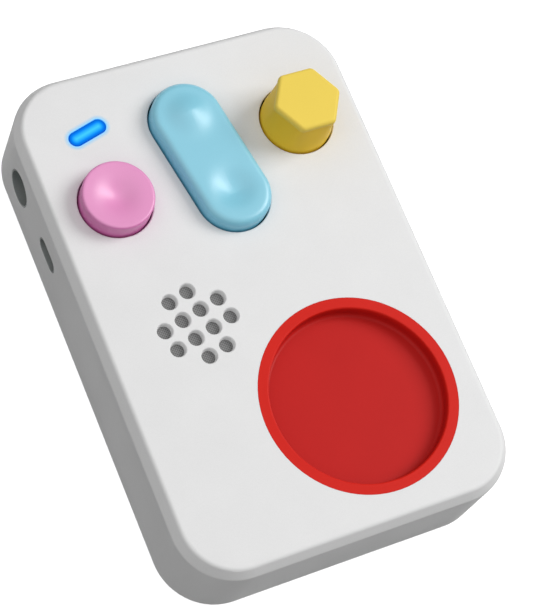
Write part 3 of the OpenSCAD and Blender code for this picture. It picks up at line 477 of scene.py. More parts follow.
# %% [markdown]
# ## Volume knob
# The yellow knob is round where it meets the face and six-sided at its top, so a small hand
# can grip it. Its top starts as a six-sided circle whose corners are beveled and whose sides
# are divided until it has as many points as the round base. The two outlines are then
# bridged, which gives the slow change from hexagon to circle that the real knob has.

# %% Volume knob
knob_low, knob_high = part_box("volume_knob")
KNOB_R = 9.7 * MM
KNOB_CORNER_R = 9.6 * MM
KNOB_CORNER = 0.9 * MM
KNOB_CORNER_CUTS = 4
KNOB_SIDE_CUTS = 11
KNOB_ROUND = 1.0 * MM
KNOB_BROW = 1.5 * MM
KNOB_NECK = 0.3 * MM
KNOB_UNDERCUT = 0.98
brow_z = knob_high.z - KNOB_BROW
neck_z = brow_z - KNOB_NECK + NEAR

bpy.ops.object.select_all(action="DESELECT")
bpy.ops.mesh.primitive_circle_add(vertices=6, radius=KNOB_CORNER_R,
                                  location=(0, 0, brow_z),
                                  rotation=(0, 0, math.radians(30)))
volume_cap = new_piece("volume_cap")
apply_place()
edit_mode(True)
bpy.ops.mesh.select_all(action="SELECT")
bpy.ops.mesh.bevel(offset=KNOB_CORNER, segments=KNOB_CORNER_CUTS, affect="VERTICES")
edit_mode(False)
choose_edges(volume_cap, lambda first, second: (first - second).length > KNOB_CORNER_R / 2)
bpy.ops.mesh.subdivide(number_cuts=KNOB_SIDE_CUTS)
bpy.ops.mesh.select_all(action="SELECT")
extrude((0, 0, KNOB_BROW))
bpy.ops.mesh.edge_face_add()
face_outwards()
round_edges(volume_cap, KNOB_ROUND, 6, lambda place: place.z > knob_high.z - NEAR)
choose(volume_cap, "EDGE", lambda place: place.z < brow_z + NEAR)
extrude((0, 0, -KNOB_NECK))
bpy.ops.transform.resize(value=(KNOB_UNDERCUT, KNOB_UNDERCUT, 1), center_override=(0, 0, 0))
edit_mode(False)
rim_points = sum(point.co.z < neck_z for point in volume_cap.data.vertices)
print("knob rim points:", rim_points)

# %% [markdown]
# ## The knob's round base
# A circle with the same number of points is joined to the knob and bridged to the rim above.
# It is then extruded down to the skirt, and hollowed with insets that leave the hub in which
# the shaft sits.

# %% Base and hub of the knob
KNOB_BASE_TOP = 28.3 * MM
KNOB_BRIDGES = 14
KNOB_SOFTENING = 14
SOFT_ABOVE_BASE = 0.3 * MM
SOFT_BELOW_BROW = 0.5 * MM
KNOB_WALL = 2 * MM
KNOB_ROOF = 2.4 * MM
HUB_R = 4.6 * MM
SHAFT_R = 3.02 * MM
SHAFT_ROOM = 9.3 * MM
roof_z = knob_high.z - KNOB_ROOF


def choose_flat(piece, height):
    """Selects the faces that lie level at one height."""
    choose(piece, "FACE", lambda place: abs(place.z - height) < NEAR)


bpy.ops.object.select_all(action="DESELECT")
bpy.ops.mesh.primitive_circle_add(vertices=rim_points, radius=KNOB_R,
                                  location=(0, 0, KNOB_BASE_TOP))
new_piece("knob_base")
apply_place()
volume_cap.select_set(True)
bpy.context.view_layer.objects.active = volume_cap
bpy.ops.object.join()
choose(volume_cap, "EDGE", lambda place: place.z < neck_z)
bpy.ops.mesh.bridge_edge_loops(number_cuts=KNOB_BRIDGES, interpolation="LINEAR")
choose(volume_cap, "VERT", lambda place: KNOB_BASE_TOP + SOFT_ABOVE_BASE < place.z
       < brow_z - SOFT_BELOW_BROW)
bpy.ops.mesh.vertices_smooth(factor=0.5, repeat=KNOB_SOFTENING)
choose(volume_cap, "EDGE", lambda place: place.z < KNOB_BASE_TOP + NEAR)
extrude((0, 0, knob_low.z - KNOB_BASE_TOP))
bpy.ops.mesh.edge_face_add()
face_outwards()
choose_flat(volume_cap, knob_low.z)
bpy.ops.mesh.inset(thickness=KNOB_WALL)
extrude((0, 0, roof_z - knob_low.z))
bpy.ops.mesh.inset(thickness=KNOB_R - KNOB_WALL - HUB_R)
extrude((0, 0, -SHAFT_ROOM))
bpy.ops.mesh.inset(thickness=HUB_R - SHAFT_R)
extrude((0, 0, SHAFT_ROOM))
edit_mode(False)
set_down(volume_cap, KNOB_AT)
smooth(volume_cap)
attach(volume_cap, "volume")
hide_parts("volume_knob")
print("volume cap:", len(volume_cap.data.polygons), "faces")

# %% [markdown]
# ## Light window
# The light shows through a clear bar with round ends that sits flush in the face. The same
# blank makes it. Its upper edge is rounded, and a smaller bar below it leads the light up
# from the LED on the board.

# %% Light window from the blank
window_low, window_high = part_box("status_window")
WINDOW_TURN = math.radians(15.4)
WINDOW_HALF = 3.5 * MM
WINDOW_R = 2.1 * MM
WINDOW_EDGE = 0.35 * MM
GUIDE_STEP = 0.4 * MM
GUIDE_HIGH = 24.4 * MM

light_window = pill_blank("light_window", WINDOW_HALF, WINDOW_R, GUIDE_HIGH, window_high.z,
                          around=48, cuts=5)
round_edges(light_window, WINDOW_EDGE, 4, lambda place: place.z > window_high.z - NEAR)
guide = pill_blank("guide", WINDOW_HALF / 2, WINDOW_R - GUIDE_STEP, window_low.z,
                   GUIDE_HIGH + OVERLAP, around=32, cuts=3)
unite(light_window, guide)
set_down(light_window, WINDOW_AT, WINDOW_TURN)
smooth(light_window)
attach(light_window, "housing")
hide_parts("status_window")
print("light window:", len(light_window.data.polygons), "faces")

# %% [markdown]
# ## Silicone domes
# A small silicone dome lies on the board under each stem. It gives way when a finger presses
# and pushes the cap up again. A foot ring, a thin cone, a thick crown and the plunger that
# closes the contact are one half outline on the lathe.

# %% Silicone domes on the lathe
dome_low, dome_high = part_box("play_dome")
DOME_R = 5.6 * MM
DOME_WALL = 0.9 * MM
DOME_FOOT = 1.0 * MM
DOME_CROWN_R = 3.0 * MM
DOME_CROWN = 1.6 * MM
DOME_EDGE = 0.4 * MM
DOME_ROOF = 2.4 * MM
PLUNGER_R = 1.6 * MM
PLUNGER_LOW = 0.8 * MM


def dome_outline():
    """Half outline of a dome, from the middle of its crown to the tip of its plunger."""
    low = dome_low.z
    top = dome_high.z
    points = [(0, top)]
    points += arc(DOME_CROWN_R - DOME_EDGE, top - DOME_EDGE, DOME_EDGE, 90, 0)
    points += [(DOME_CROWN_R, top - DOME_CROWN), (DOME_R - DOME_WALL, low + DOME_FOOT),
               (DOME_R, low + DOME_FOOT), (DOME_R, low), (DOME_R - 2 * DOME_WALL, low),
               (DOME_R - 2 * DOME_WALL, low + DOME_FOOT),
               (DOME_CROWN_R - DOME_WALL, top - DOME_ROOF), (PLUNGER_R, top - DOME_ROOF),
               (PLUNGER_R, low + PLUNGER_LOW), (0, low + PLUNGER_LOW)]
    return points


first_dome = lathe("soft_play_dome", dome_outline(), steps=64)
smooth(first_dome)
print("dome:", len(first_dome.data.polygons), "faces")

# %% [markdown]
# ## How far the domes give way
# A soft piece can't follow a joint as a rigid one does. How far a dome gives way is as much as
# its stem comes down: at the play button that is the joint's travel, and at the rocker it
# follows from the tilt and how far out the stem's edge is.


def copy_of(piece, name):
    """A second piece of the same shape, with a mesh of its own."""
    other = piece.copy()
    other.data = piece.data.copy()
    other.name = name
    bpy.context.scene.collection.objects.link(other)
    return other


limits = {joint["name"]: joint for joint in frame["joints"]}
press = max(limits["play_press"]["range_m"])
tilt = math.radians(max(limits["rocker_tilt"]["range_deg"]))
swing = (STEM_AT + STEM_R) * math.sin(tilt)
domes = [first_dome]
domes += [copy_of(first_dome, "soft_rocker_dome_" + end) for end in ("next", "back")]
joints = ("play_press", "rocker_tilt", "rocker_tilt")
for dome, joint, drop in zip(domes, joints, (press, swing, swing)):
    node = dome.name.removeprefix("soft_")
    set_down(dome, middle(node))
    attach(dome, "housing")
    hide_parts(node)
    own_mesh(dome)
print("domes give way in mm:", in_mm((press, swing)))

# %% [markdown]
# ## Rubber feet
# Four soft pads keep the player from sliding. A moulded pad has a rounded edge and a few
# shallow rings that grip the table. One is turned on the lathe and copied to each corner,
# each copy with its own mesh.

# %% Feet on the lathe
_, feet_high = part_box("rubber_feet")
FOOT_R = 5 * MM
FOOT_EDGE = 0.6 * MM
FOOT_GROOVES = (1.4 * MM, 2.8 * MM)
FOOT_GROOVE_W = 0.5 * MM
FOOT_GROOVE_D = 0.35 * MM
FOOT_GROOVE_SLOPE = 0.1 * MM
foot_reach = Vector((feet_high.x - FOOT_R, feet_high.y - FOOT_R, 0))


def foot_outline():
    """Half outline of a foot, from the middle of its grip side to its hidden side."""
    points = [(0, 0)]
    for r in FOOT_GROOVES:
        far = r + FOOT_GROOVE_W
        points += [(r, 0), (r + FOOT_GROOVE_SLOPE, FOOT_GROOVE_D), (far, FOOT_GROOVE_D),
                   (far + FOOT_GROOVE_SLOPE, 0)]
    points += arc(FOOT_R - FOOT_EDGE, FOOT_EDGE, FOOT_EDGE, -90, 0)
    points += [(FOOT_R, feet_high.z), (0, feet_high.z)]
    return points


def four_of(piece, reach, turns=(0, 0)):
    """A piece and three copies, set down at four corners and each turned in its own way."""
    stem = piece.name.removesuffix("1")
    pieces = [piece] + [copy_of(piece, stem + number) for number in "234"]
    corners = [(x, y) for x in (-1, 1) for y in (-1, 1)]
    for each, (x, y) in zip(pieces, corners):
        set_down(each, (x * reach.x, y * reach.y, 0), turns[0] * x + turns[1] * y)
    return pieces


first_foot = lathe("foot_pad_1", foot_outline(), steps=64)
smooth(first_foot)
feet = four_of(first_foot, foot_reach)
for foot in feet:
    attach(foot, "housing")
    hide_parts("rubber_feet")
print("feet in mm:", in_mm(foot_reach.xy))

# %% [markdown]
# ## Case screws
# Four pan-head screws hold the rear cover, each at the bottom of a round well in the cover.
# One is turned on the lathe, with a soft edge on its head and its thread as rings.

# %% Case screws
screw_low, screw_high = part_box("case_screws")
HEAD_R = 2.5 * MM
HEAD_T = 1.8 * MM
HEAD_ROUND = 0.9 * MM
SHANK_R = 1.25 * MM
ROOT_R = 0.8 * SHANK_R
THREAD_STEP = 0.8 * MM
CREST_AT = 0.3
ROOT_AT = 0.6
THREAD_END = 1.5 * MM
TIP_L = 1.2 * MM


def screw_outline():
    """Half outline of a screw, head down, with its thread as rings."""
    head_top = screw_low.z + HEAD_T
    points = [(0, screw_low.z)]
    points += arc(HEAD_R - HEAD_ROUND, screw_low.z + HEAD_ROUND, HEAD_ROUND, -90, 0)
    points += [(HEAD_R, head_top), (ROOT_R, head_top)]
    z = head_top + THREAD_STEP
    while z < screw_high.z - THREAD_END:
        points += [(ROOT_R, z), (SHANK_R, z + THREAD_STEP * CREST_AT),
                   (ROOT_R, z + THREAD_STEP * ROOT_AT)]
        z += THREAD_STEP
    points += [(ROOT_R, screw_high.z - TIP_L), (0, screw_high.z)]
    return points


first_screw = lathe("case_screw_1", screw_outline(), steps=32)
print("screw blank:", len(first_screw.data.polygons), "faces")

# %% [markdown]
# ## Cross slots
# The cross slot is cut with two slim wedges, made as boxes whose upper ends are drawn in. The
# screw is then copied to its four places, and each copy is turned in its own way, because no
# two screws end up with their slots in line.

# %% Cross slots and copies of the screw
SLOT_W = 0.75 * MM
SLOT_L = 3.0 * MM
SLOT_D = 1.1 * MM
SLOT_TAPER = 0.5
SCREW_TURNS = (0.4, 0.9)


def slot_cutter(turn):
    """A slim wedge that cuts one arm of the cross slot."""
    bpy.ops.object.select_all(action="DESELECT")
    bpy.ops.mesh.primitive_cube_add(size=1, location=(0, 0, screw_low.z))
    cutter = new_piece("slot_cutter")
    cutter.scale = (SLOT_L, SLOT_W, 2 * SLOT_D)
    cutter.rotation_euler = (0, 0, turn)
    apply_place()
    choose_flat(cutter, screw_low.z + SLOT_D)
    bpy.ops.transform.resize(value=(SLOT_TAPER, SLOT_TAPER, 1), center_override=(0, 0, 0))
    edit_mode(False)
    return cutter


for turn in (0.0, math.pi / 2):
    unite(first_screw, slot_cutter(turn), "DIFFERENCE")
smooth(first_screw)
screw_reach = Vector((screw_high.x - HEAD_R, screw_high.y - HEAD_R, 0))
screws = four_of(first_screw, screw_reach, SCREW_TURNS)
for screw in screws:
    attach(screw, "housing")
    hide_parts("case_screws")
print("screws in mm:", in_mm(screw_reach.xy))

# %% [markdown]
# ## Nodes with short names
# A material is a small network. These helpers add a node, join two sockets, do a sum, mix
# colours or stretch a range, so that each network below reads from left to right like the
# picture in the shader editor.

# %% Helpers for node networks
def add(tree, kind, **values):
    """Adds a node and sets its settings, or its inputs where the name is an input's."""
    node = tree.nodes.new(kind)
    for name, value in values.items():
        if hasattr(node, name):
            setattr(node, name, value)
        else:
            node.inputs[name.replace("_", " ")].default_value = value
    return node


def join(tree, source, target):
    """Leads a socket into another, or sets it where the source is a plain value."""
    if isinstance(source, bpy.types.NodeSocket):
        tree.links.new(source, target)
    else:
        target.default_value = source


def place_into(tree, node):
    """Leads the place of each point, in Object coordinates, into a node."""
    join(tree, add(tree, "ShaderNodeTexCoord").outputs["Object"], node.inputs["Vector"])


def calc(tree, operation, first, second):
    """A Math node whose two inputs are sockets or numbers."""
    node = add(tree, "ShaderNodeMath", operation=operation)
    join(tree, first, node.inputs[0])
    join(tree, second, node.inputs[1])
    return node.outputs[0]


def mixed(tree, share, first, second, how="MIX"):
    """A colour that goes from the first to the second as the share goes from 0 to 1."""
    node = add(tree, "ShaderNodeMix", data_type="RGBA", blend_type=how)
    for label, value in (("Factor", share), ("A", first), ("B", second)):
        join(tree, value, node.inputs[label])
    return node.outputs["Result"]


def tint(tree, colour, amount):
    """Multiplies a colour by a value that lies around one."""
    return mixed(tree, 1.0, colour, amount, "MULTIPLY")


def spread(tree, value, low, high, from_low=0.3, from_high=0.7):
    """Stretches the middle of a noise to a range."""
    node = add(tree, "ShaderNodeMapRange", From_Min=from_low, From_Max=from_high,
               To_Min=low, To_Max=high)
    join(tree, value, node.inputs["Value"])
    return node.outputs["Result"]


# %% [markdown]
# ## Groups and the materials round them
# An effect that several materials share is a node group, built once. `dressed` makes a material
# round such a group: it places the group, gives it values of its own and leads what it puts
# out to the shader. The shader itself stays in the material.

# %% Helpers for groups and materials
COLOUR_SOCKETS = ("Colour", "Thread", "Gap")


def new_group(name, inputs, outputs):
    """A shader node group with its sockets, which hold a colour or a number."""
    group = bpy.data.node_groups.new(name, "ShaderNodeTree")
    for in_out, labels in (("INPUT", inputs), ("OUTPUT", outputs)):
        for label in labels:
            kind = "Color" if label in COLOUR_SOCKETS else "Float"
            group.interface.new_socket(name=label, in_out=in_out,
                                       socket_type="NodeSocket" + kind)
    return group, group.nodes.new("NodeGroupInput"), group.nodes.new("NodeGroupOutput")


def dressed(name, group, relief, strength, **inputs):
    """A material whose colour, gloss and relief come from a group with values of its own."""
    material = bpy.data.materials.new(name)
    material.use_nodes = True
    tree = material.node_tree
    shader = tree.nodes["Principled BSDF"]
    look = add(tree, "ShaderNodeGroup", node_tree=group, **inputs)
    bump = add(tree, "ShaderNodeBump", Strength=strength, Distance=relief * MM)
    join(tree, look.outputs["Height"], bump.inputs["Height"])
    join(tree, bump.outputs["Normal"], shader.inputs["Normal"])
    join(tree, look.outputs["Colour"], shader.inputs["Base Color"])
    if "Roughness" in look.outputs:
        join(tree, look.outputs["Roughness"], shader.inputs["Roughness"])
    return material, shader


# %% [markdown]
# ## Moulded skin
# Moulded plastic is never quite even. A spark-eroded mould leaves a fine grain, the gloss
# drifts a little over the surface, and the colour with it. One node group makes all three
# from noise on Object coordinates and is used for each plastic and rubber piece.

# %% Group for moulded plastic
GRAIN_SHARE = 0.6
PATCH_SHARE = 0.4
PATCHES = 70.0
GLOSS_DRIFT = 0.04
skin, skin_in, skin_out = new_group("Moulded skin", ("Colour", "Roughness", "Grain", "Drift"),
                                    ("Colour", "Roughness", "Height"))
grain = add(skin, "ShaderNodeTexNoise", Detail=2.0, Roughness=0.6)
place_into(skin, grain)
join(skin, skin_in.outputs["Grain"], grain.inputs["Scale"])
patches = add(skin, "ShaderNodeTexNoise", Scale=PATCHES, Detail=3.0, Roughness=0.5)
place_into(skin, patches)
both = calc(skin, "ADD", spread(skin, grain.outputs["Fac"], -GRAIN_SHARE, GRAIN_SHARE),
            spread(skin, patches.outputs["Fac"], -PATCH_SHARE, PATCH_SHARE))
shade = calc(skin, "ADD", calc(skin, "MULTIPLY", both, skin_in.outputs["Drift"]), 1.0)
join(skin, tint(skin, skin_in.outputs["Colour"], shade), skin_out.inputs["Colour"])
gloss = calc(skin, "ADD", skin_in.outputs["Roughness"],
             spread(skin, patches.outputs["Fac"], -GLOSS_DRIFT, GLOSS_DRIFT))
join(skin, gloss, skin_out.inputs["Roughness"])
join(skin, grain.outputs["Fac"], skin_out.inputs["Height"])


def moulded(name, colour, roughness, grain=5000.0, drift=0.02, relief=0.01, specular=0.5):
    """A moulded plastic or rubber, whose relief is the height of its grain in millimetres."""
    material, shader = dressed(name, skin, relief, 0.6, Colour=(*colour, 1),
                               Roughness=roughness, Grain=grain, Drift=drift)
    shader.inputs["Specular IOR Level"].default_value = specular
    return material


print("moulded skin:", len(skin.nodes), "nodes")

# %% [markdown]
# ## Drawn metal
# Screws, shafts and pressed steel show fine streaks from the tool that made them. The group
# stretches noise along one axis, so it becomes streaks, and lets them vary colour, gloss
# and height.

# %% Group for metal
STREAK_STRETCH = (0.08, 1, 1)
STREAK_DARK = 0.9
STREAK_BRIGHT = 1.06
STREAK_GLOSS = 0.07
streaks, streaks_in, streaks_out = new_group(
    "Tool streaks", ("Colour", "Roughness", "Streaks"), ("Colour", "Roughness", "Height"))
stretch = add(streaks, "ShaderNodeMapping", Scale=STREAK_STRETCH)
place_into(streaks, stretch)
lines = add(streaks, "ShaderNodeTexNoise", Detail=3.0, Roughness=0.55)
join(streaks, stretch.outputs["Vector"], lines.inputs["Vector"])
join(streaks, streaks_in.outputs["Streaks"], lines.inputs["Scale"])
shade = spread(streaks, lines.outputs["Fac"], STREAK_DARK, STREAK_BRIGHT)
join(streaks, tint(streaks, streaks_in.outputs["Colour"], shade), streaks_out.inputs["Colour"])
gloss = calc(streaks, "ADD", streaks_in.outputs["Roughness"],
             spread(streaks, lines.outputs["Fac"], -STREAK_GLOSS, STREAK_GLOSS))
join(streaks, gloss, streaks_out.inputs["Roughness"])
join(streaks, lines.outputs["Fac"], streaks_out.inputs["Height"])


def metal(name, colour, roughness, streak=900.0, relief=0.004):
    """A metal with fine tool streaks."""
    material, shader = dressed(name, streaks, relief, 0.5, Colour=(*colour, 1),
                               Roughness=roughness, Streaks=streak)
    shader.inputs["Metallic"].default_value = 1.0
    return material


print("tool streaks:", len(streaks.nodes), "nodes")

# %% [markdown]
# ## Woven mesh and foam
# Behind the grille lies a woven dust mesh. Two sets of waves at right angles give its threads.
# The speaker's paper cone and the foam pads use the moulded skin with a coarse grain.

# %% Group and material for woven mesh
THREAD_RELIEF = 0.1
weave, weave_in, weave_out = new_group("Weave", ("Thread", "Gap", "Threads"),
                                       ("Colour", "Height"))
sets = []
for axis in ("X", "Y"):
    threads = add(weave, "ShaderNodeTexWave", wave_type="BANDS", bands_direction=axis)
    place_into(weave, threads)
    join(weave, weave_in.outputs["Threads"], threads.inputs["Scale"])
    sets.append(threads.outputs["Fac"])
over = calc(weave, "MAXIMUM", *sets)
cloth = mixed(weave, over, weave_in.outputs["Gap"], weave_in.outputs["Thread"])
join(weave, cloth, weave_out.inputs["Colour"])
join(weave, over, weave_out.inputs["Height"])


def woven(name, thread, gap, threads):
    """A woven mesh with a thread colour and a gap colour."""
    material, shader = dressed(name, weave, THREAD_RELIEF, 0.8, Thread=(*thread, 1),
                               Gap=(*gap, 1), Threads=threads)
    shader.inputs["Roughness"].default_value = 0.75
    return material


print("weave:", len(weave.nodes), "nodes")

# %% [markdown]
# ## The light in the window
# The window is lit from below: brightest along its middle, deep blue towards its edge, and a
# little light leaks into the white plastic round it. Both finishes need to know how far a
# point lies from the window's middle line, so one group works that out. It moves and turns
# the pattern to the window, shortens the bar to its middle line and measures from there. A
# function makes the group, because the caps need one each as well.

# %% Group for the distance from a middle line
def distance_group(name, centre, turn, half):
    """A group that tells how far a point lies from the middle line of a bar, seen from above."""
    group, _, group_out = new_group(name, (), ("Distance",))
    centred = add(group, "ShaderNodeMapping", vector_type="TEXTURE", Location=centre,
                  Rotation=(0, 0, turn))
    place_into(group, centred)
    split = add(group, "ShaderNodeSeparateXYZ")
    join(group, centred.outputs["Vector"], split.inputs["Vector"])
    along = calc(group, "ABSOLUTE", split.outputs["X"], 0.0)
    past = calc(group, "MAXIMUM", calc(group, "SUBTRACT", along, half), 0.0)
    square = calc(group, "ADD", calc(group, "MULTIPLY", past, past),
                  calc(group, "MULTIPLY", split.outputs["Y"], split.outputs["Y"]))
    join(group, calc(group, "SQRT", square, 0.0), group_out.inputs["Distance"])
    return group


reach = distance_group("Distance from the light", WINDOW_AT, WINDOW_TURN, WINDOW_HALF)
print("distance group:", len(reach.nodes), "nodes")

# %% [markdown]
# ## The glow and what leaks from it
# A colour ramp turns the distance into light. In the window it runs from a pale middle to a
# deep blue rim. In the shell it starts at the window's edge, adds a little light and tints the
# white blue as painted light, and ends within about a millimetre.

# %% Lit window and leaking light
GLOW = [(0.0, (0.06, 0.62, 1.0)), (0.3, (0.025, 0.45, 1.0)), (0.6, (0.0, 0.22, 0.84)),
        (0.95, (0.0, 0.08, 0.52))]
LEAK_REACH = 1.2 * MM
LEAK_COLOUR = (0.02, 0.30, 0.55)
LEAK_FADE = 0.4
LEAK_LIGHT_TINT = (0.35, 0.6, 0.8)


def ramp(tree, value, stops):
    """A colour ramp from (position, colour) stops."""
    node = tree.nodes.new("ShaderNodeValToRGB")
    band = node.color_ramp
    for element, (position, colour) in zip(band.elements, (stops[0], stops[-1])):
        element.position = position
        element.color = (*colour, 1)
    for position, colour in stops[1:-1]:
        band.elements.new(position).color = (*colour, 1)
    join(tree, value, node.inputs["Fac"])
    return node.outputs["Color"]


def shine(material, colour):
    """Lets a material send out the colour of a socket."""
    shader = material.node_tree.nodes["Principled BSDF"]
    join(material.node_tree, colour, shader.inputs["Emission Color"])
    shader.inputs["Emission Strength"].default_value = 1.0


def retint(material, colour):
    """Multiplies a material's colour by a colour that varies over the surface."""
    tree = material.node_tree
    target = tree.nodes["Principled BSDF"].inputs["Base Color"]
    join(tree, tint(tree, colour, target.links[0].from_socket), target)


def leak_light(material):
    """Adds the light that leaks from the window into the plastic round it."""
    tree = material.node_tree
    far = add(tree, "ShaderNodeGroup", node_tree=reach)
    past_edge = calc(tree, "SUBTRACT", far.outputs["Distance"], WINDOW_R)
    share = calc(tree, "DIVIDE", past_edge, LEAK_REACH)
    faded = [channel * LEAK_FADE for channel in LEAK_COLOUR]
    leak = ramp(tree, share, [(0.0, LEAK_COLOUR), (0.35, faded), (1.0, (0, 0, 0))])
    shine(material, leak)
    # The white is tinted blue round the window: painted light from the glow.
    light_tint = ramp(tree, share, [(0.0, LEAK_LIGHT_TINT), (1.0, (1, 1, 1))])
    retint(material, light_tint)


window_blue = moulded("window_blue", (0.0, 0.02, 0.12), 0.3, relief=0.002, specular=0.05)
tree = window_blue.node_tree
far = add(tree, "ShaderNodeGroup", node_tree=reach)
share = calc(tree, "DIVIDE", far.outputs["Distance"], WINDOW_R)
shine(window_blue, ramp(tree, share, GLOW))
print("window glow:", len(GLOW), "stops")

# %% [markdown]
# ## Plastic with painted shade at its sides
# The upright sides of the caps get a deeper, warmer colour than their tops, and the cup's floor
# a deeper colour than its rim. That second colour is painted shade. A mask blends the two
# colours: by height for the cup and the knob, by the distance from the middle for the round and
# the long cap.

# %% Plastic with painted shade at its sides
CUP_SHADE_FADE = (2.0 * MM, 0.3 * MM)
KNOB_SHADE_FADE = (2.4 * MM, 0.9 * MM)
PLAY_SHADE_FADE = (0.4 * MM, 0.05 * MM)
ROCKER_SHADE_FADE = (0.6 * MM, 0.05 * MM)


def by_height(tree, top, fade):
    """A mask that climbs from 0 to 1 between two heights, measured down from a top."""
    split = add(tree, "ShaderNodeSeparateXYZ")
    place_into(tree, split)
    return spread(tree, split.outputs["Z"], 0.0, 1.0, top - fade[0], top - fade[1])


def by_distance(tree, group, edge, fade):
    """A mask that falls from 1 to 0 between two places, measured in from an edge."""
    far = add(tree, "ShaderNodeGroup", node_tree=group)
    return spread(tree, far.outputs["Distance"], 1.0, 0.0, edge - fade[0], edge - fade[1])


def plastic_with_painted_shade(name, mask, upper, lower, roughness, **values):
    """A moulded plastic in two colours: its own above and a painted shade colour below. The mask
    that blends them is a function and its values.
    """
    material = moulded(name, (1, 1, 1), roughness, **values)
    tree = material.node_tree
    retint(material, mixed(tree, mask[0](tree, *mask[1:]), (*lower, 1), (*upper, 1)))
    return material


play_reach = distance_group("Distance from the button's middle", PLAY_AT, 0.0, 0.0)
rocker_reach = distance_group("Distance from the rocker's line", ROCKER_AT, ROCKER_TURN,
                              ROCKER_HALF)
cup_shade_mask = (by_height, FACE, CUP_SHADE_FADE)
knob_shade_mask = (by_height, knob_high.z, KNOB_SHADE_FADE)
play_shade_mask = (by_distance, play_reach, PLAY_R, PLAY_SHADE_FADE)
rocker_shade_mask = (by_distance, rocker_reach, ROCKER_R, ROCKER_SHADE_FADE)
print("the knob's colour turns in mm below its top:", in_mm(KNOB_SHADE_FADE))

# %% [markdown]
# ## Finishes of the parts one sees
# `wear` gives a finish to solids of the frame, told by their names, and to new pieces. A solid
# keeps its mesh and only its material changes. The shell is matte white with a fine grain.
# The button and the rocker are satin, with a soft bright spot in each dish, and the knob and
# the cup shine less. Both openings in the side show a dark grey sleeve. Colours are linear
# values, chosen so that each surface renders as the real one looks under plain light.

# %% Visible finishes
finished = set()


def wear(material, *parts):
    """Gives one finish to each part, which is the name of a solid or a new piece."""
    for part in parts:
        mesh = frame["nodes"].get(part, part).data
        mesh.materials.clear()
        mesh.materials.append(material)
        finished.add(part)


shell_white = moulded("shell_white", (0.80, 0.80, 0.80), 0.55, grain=4200, drift=0.03,
                      relief=0.012, specular=0.2)
leak_light(shell_white)
wear(shell_white, "front_shell")
wear(window_blue, "status_window", light_window)
# The lower colour of the cup, the button, the rocker and the knob is painted shade: on the cup's
# floor and on the caps' sides.
wear(plastic_with_painted_shade("cup_red", cup_shade_mask, (0.66, 0.017, 0.010), (0.53, 0.014, 0.012), 0.42,
              drift=0.04, specular=0.12), "well_cup")
wear(plastic_with_painted_shade("button_pink", play_shade_mask, (0.82, 0.30, 0.58), (0.71, 0.165, 0.46), 0.38,
              drift=0.03, relief=0.006, specular=0.9), "play_button", play_cap)
wear(plastic_with_painted_shade("rocker_blue", rocker_shade_mask, (0.25, 0.62, 0.77), (0.17, 0.545, 0.73), 0.38,
              drift=0.03, relief=0.006, specular=0.9), "skip_rocker", skip_cap)
wear(plastic_with_painted_shade("knob_yellow", knob_shade_mask, (0.88, 0.66, 0.11), (0.865, 0.57, 0.038), 0.42,
              drift=0.03, relief=0.006, specular=0.1), "volume_knob", volume_cap)
wear(moulded("cover_white", (0.77, 0.77, 0.76), 0.6, grain=3000, drift=0.03, relief=0.03),
     "rear_cover")
wear(moulded("rubber_dark", (0.035, 0.035, 0.036), 0.75, grain=2500, drift=0.15, relief=0.03),
     "rubber_feet", *feet)
wear(moulded("sleeve_grey", (0.25, 0.265, 0.26), 0.6, grain=2500, drift=0.12, relief=0.02),
     "recess_sleeve", "slot_sleeve", "headphone_jack")
wear(woven("mesh_black", (0.27, 0.27, 0.27), (0.0, 0.0, 0.0), 700), "speaker_mesh")
wear(metal("screw_steel", (0.55, 0.56, 0.58), 0.35), "case_screws", *screws, "holder_screws",
     "speaker_screws", "rocker_screws", "board_screws", "rocker_pin")
print("finished so far:", len(finished))

# %% [markdown]
# ## Finishes inside
# The parts inside show through a gap at most, but they are seen when the model is taken
# apart, so each gets the finish of the real thing.

# %% Inner finishes
WIRE_RELIEF = 0.1 * MM


def wound(name, colour, centre, turns):
    """Enamelled wire wound in flat rings round a middle."""
    material = metal(name, colour, 0.35)
    tree = material.node_tree
    centred = add(tree, "ShaderNodeMapping", vector_type="TEXTURE", Location=centre)
    rings = add(tree, "ShaderNodeTexWave", wave_type="RINGS", rings_direction="Z", Scale=turns)
    place_into(tree, centred)
    join(tree, centred.outputs["Vector"], rings.inputs["Vector"])
    bump = add(tree, "ShaderNodeBump", Strength=1.0, Distance=WIRE_RELIEF)
    join(tree, rings.outputs["Fac"], bump.inputs["Height"])
    join(tree, bump.outputs["Normal"], tree.nodes["Principled BSDF"].inputs["Normal"])
    return material


wear(wound("coil_copper", (0.55, 0.25, 0.12), WELL_AT, 700), "reader_coil")
wear(metal("basket_steel", (0.5, 0.51, 0.53), 0.35), "speaker_basket", "charging_port")
wear(metal("magnet_nickel", (0.6, 0.6, 0.62), 0.22, streak=1500), "well_magnet", "speaker_magnet")
wear(metal("shaft_steel", (0.6, 0.61, 0.63), 0.25, streak=1500), "encoder_shaft")
wear(metal("cell_silver", (0.6, 0.61, 0.63), 0.4, streak=300, relief=0.08), "battery_cell")
wear(metal("contact_gold", (0.8, 0.6, 0.25), 0.25), "contact_pads")
wear(moulded("silicone_clear", (0.6, 0.6, 0.6), 0.4, drift=0.05),
     "play_dome", "rocker_dome_next", "rocker_dome_back", *domes)
wear(moulded("black_plastic", (0.02, 0.02, 0.022), 0.45, drift=0.1),
     "encoder_body", "processor_chip", "memory_chip", "amplifier_chip", "port_tongue")
wear(moulded("inner_grey", (0.12, 0.12, 0.13), 0.6, grain=2500, drift=0.12, relief=0.02),
     "reader_holder", "speaker_bracket", "rocker_bracket")
wear(moulded("board_green", (0.015, 0.13, 0.05), 0.3, grain=1500, drift=0.15, relief=0.02),
     "reader_board", "main_board")
